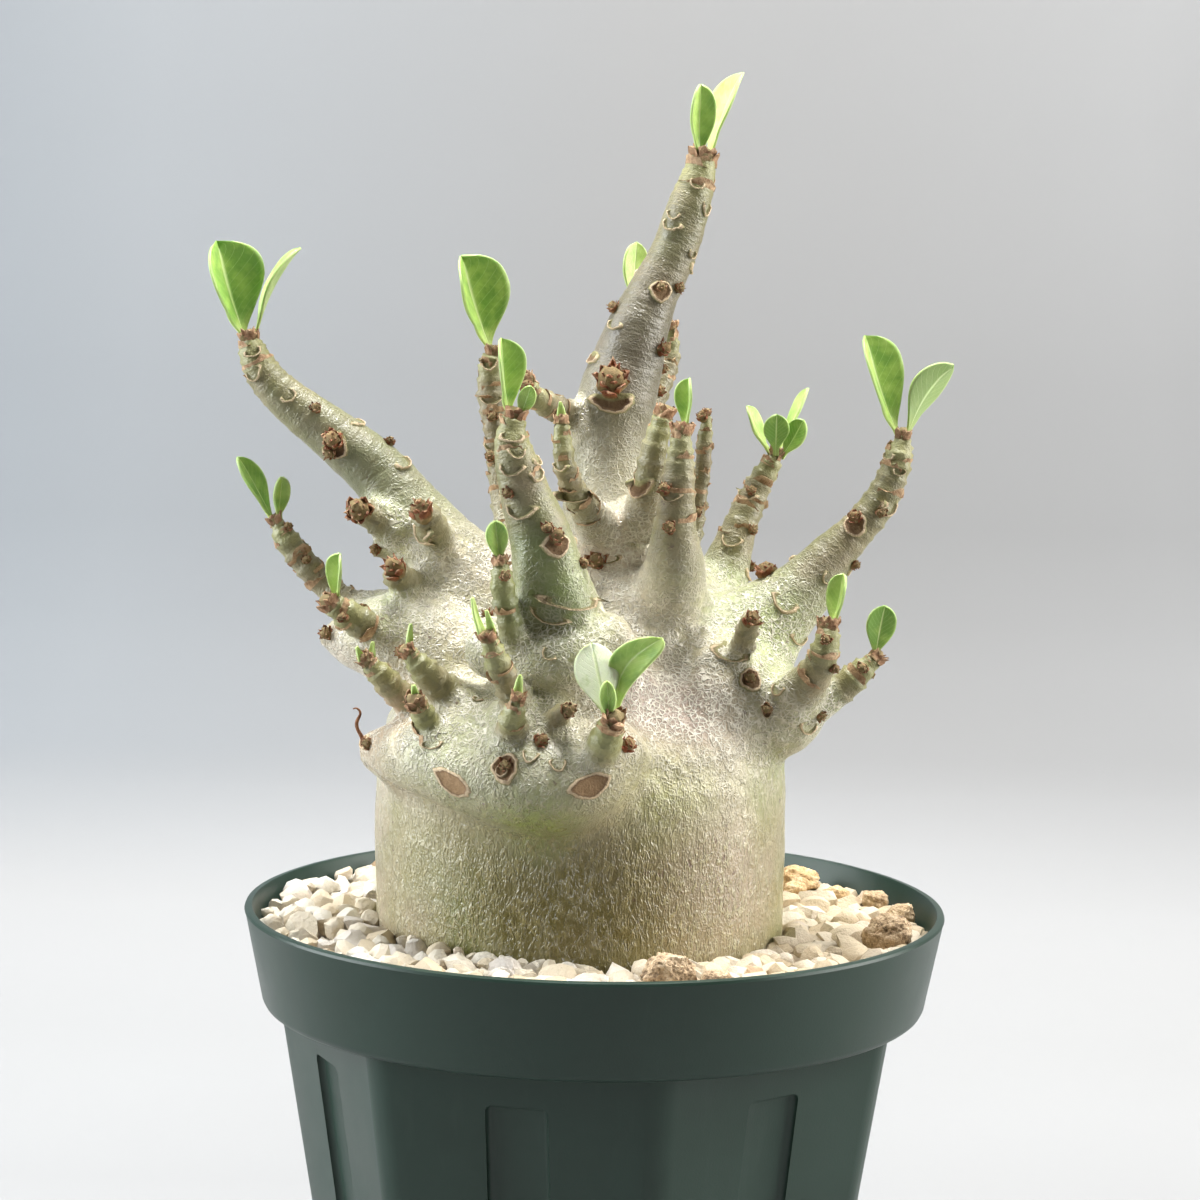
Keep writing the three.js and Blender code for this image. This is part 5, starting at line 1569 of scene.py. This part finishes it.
ochre_rock = stone_material("ochre_stone", (0.36, 0.22, 0.10), (0.62, 0.43, 0.22), (0.80, 0.62, 0.40))
tan_rock = stone_material("tan_stone", (0.24, 0.15, 0.08), (0.52, 0.38, 0.23), (0.74, 0.59, 0.41))
brown_rock = stone_material("brown_stone", (0.12, 0.075, 0.04), (0.50, 0.36, 0.22), (0.78, 0.63, 0.45))
for name in stones:
    low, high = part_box(name)
    bpy.ops.mesh.primitive_ico_sphere_add(subdivisions=5, radius=1)
    rock = bpy.context.object
    rock.name = name + "_rough"
    ball = corners_of(rock.data)
    cuts = np.random.default_rng(sum(map(ord, name)))
    shape = chipped(np.sign(ball) * np.abs(ball) ** 0.7, cuts, 11, 0.72, 1.02, 0.95)
    seed = cuts.uniform(0, 50)
    rough_map = []
    for x, y, z in shape:
        place = Vector((x + seed, y, z))
        pits = -abs(noise.noise(place * 7)) * 0.16 + noise.noise(place * 15) * 0.06
        rough_map.append(1 + pits + noise.noise(place * 2.8) * 0.12)
    shape *= np.array(rough_map)[:, None]
    shape /= np.abs(shape).max(0)
    put_corners(rock.data, shape * np.array((high - low) / 2) + np.array((low + high) / 2))
    bpy.ops.object.shade_smooth()
    dress(rock, brown_rock if "brown" in name else tan_rock if "tan" in name else ochre_rock)
    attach(rock, "root")
    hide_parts(name)


# The studio: a pale table top that curves up into a pale grey backdrop, large soft lights at both sides
# and above, and little light from the viewer's side. Painted light and shade lie on the paper as well.
bpy.ops.mesh.primitive_grid_add(x_subdivisions=2, y_subdivisions=64, size=2)
backdrop = bpy.context.object
backdrop.name = "studio_floor"
floor_front = -2.0
bend_start = 0.9
bend_radius = 0.4
wall_top = 2.4
bend_length = bend_radius * math.pi / 2
floor_length = bend_start - floor_front
total = floor_length + bend_length + (wall_top - bend_radius)
runs = []
for vertex in backdrop.data.vertices:
    run = (vertex.co.y + 1) / 2 * total
    runs.append(run)
    x = vertex.co.x * 3
    if run < floor_length:
        vertex.co = (x, floor_front + run, 0)
    elif run < floor_length + bend_length:
        turn = (run - floor_length) / bend_radius
        vertex.co = (x, bend_start + bend_radius * math.sin(turn), bend_radius * (1 - math.cos(turn)))
    else:
        vertex.co = (x, bend_start + bend_radius, bend_radius + run - floor_length - bend_length)
only(backdrop)
bpy.ops.object.shade_smooth()
paper, shader = surface("pale_paper", Roughness=0.9)
spot = place_on_piece(shader)
store(backdrop.data, "run", np.array(runs))
sideways = axis_of(spot, "X")
run_share = field(shader, "run")
faint = pattern(spot, 4, 2)
# painted light and shade along the paper: its tone rises from the near floor to the back of the floor, dips
# in the bend and rises again up the wall
painted_light_levels = [(0.0, 0.30), (0.13, 0.375), (0.27, 0.485), (0.47, 0.575), (0.63, 0.54), (0.73, 0.475),
          (0.81, 0.51), (1.0, 0.71)]
pale = tones(between(run_share, 2.2, 3.55), *[(place, (level, level, level)) for place, level in painted_light_levels])
# painted shade: the back of the floor, the bend and the wall darker behind the plant, most at its middle
plant_middle = 24 * MM
aside = plus(sideways, -plant_middle)
painted_shade_behind_plant = times(between(times(aside, aside), 0, 0.09, 0.2, 0.03), between(run_share, 2.7, 3.1))
pale = layered(painted_shade_behind_plant, pale, (0.05, 0.035, 0.02))
# painted light: a cool bluish cast on the left of the back floor, the bend and the wall
painted_cool_light = times(between(sideways, 0.02, -0.4, 0, 0.4), between(run_share, 2.6, 2.95))
pale = layered(painted_cool_light, pale, (0.40, 0.50, 0.60))
pale = layered(between(faint, 0.3, 0.7, 0, 0.06), pale, (0.60, 0.62, 0.65))
feed(shader.inputs["Base Color"], pale)
dress(backdrop, paper)


def soft_light(name, place, target, size, power, color=(1, 1, 1)):
    bpy.ops.object.light_add(type="AREA", location=place)
    light = bpy.context.object
    light.name = name
    light.rotation_euler = (Vector(target) - Vector(place)).to_track_quat("-Z", "Y").to_euler()
    light.data.shape = "RECTANGLE"
    light.data.size, light.data.size_y = size
    light.data.energy = power
    light.data.color = color


soft_light("left_light", (-0.7, -0.02, 0.42), (0, 0, 0.2), (0.5, 0.7), 10.5, (0.93, 0.97, 1))
soft_light("right_light", (0.7, -0.02, 0.42), (0, 0, 0.2), (0.5, 0.7), 10, (1, 0.985, 0.95))
soft_light("top_light", (0.02, 0.02, 0.95), (0, 0, 0.1), (0.34, 0.28), 13)
soft_light("wall_light", (0, 0.75, 1.5), (0, 1.3, 0.5), (1.2, 0.4), 7)
soft_light("front_light", (0.1, -1.2, 0.9), (0, 0, 0.15), (0.8, 0.5), 0.4)
world = bpy.data.worlds.new("studio_air")
world.use_nodes = True
room_light = world.node_tree.nodes["Background"]
room_light.inputs["Color"].default_value = (1, 1, 1, 1)
room_light.inputs["Strength"].default_value = 0.06
bpy.context.scene.world = world
bpy.context.scene.view_settings.view_transform = "Standard"
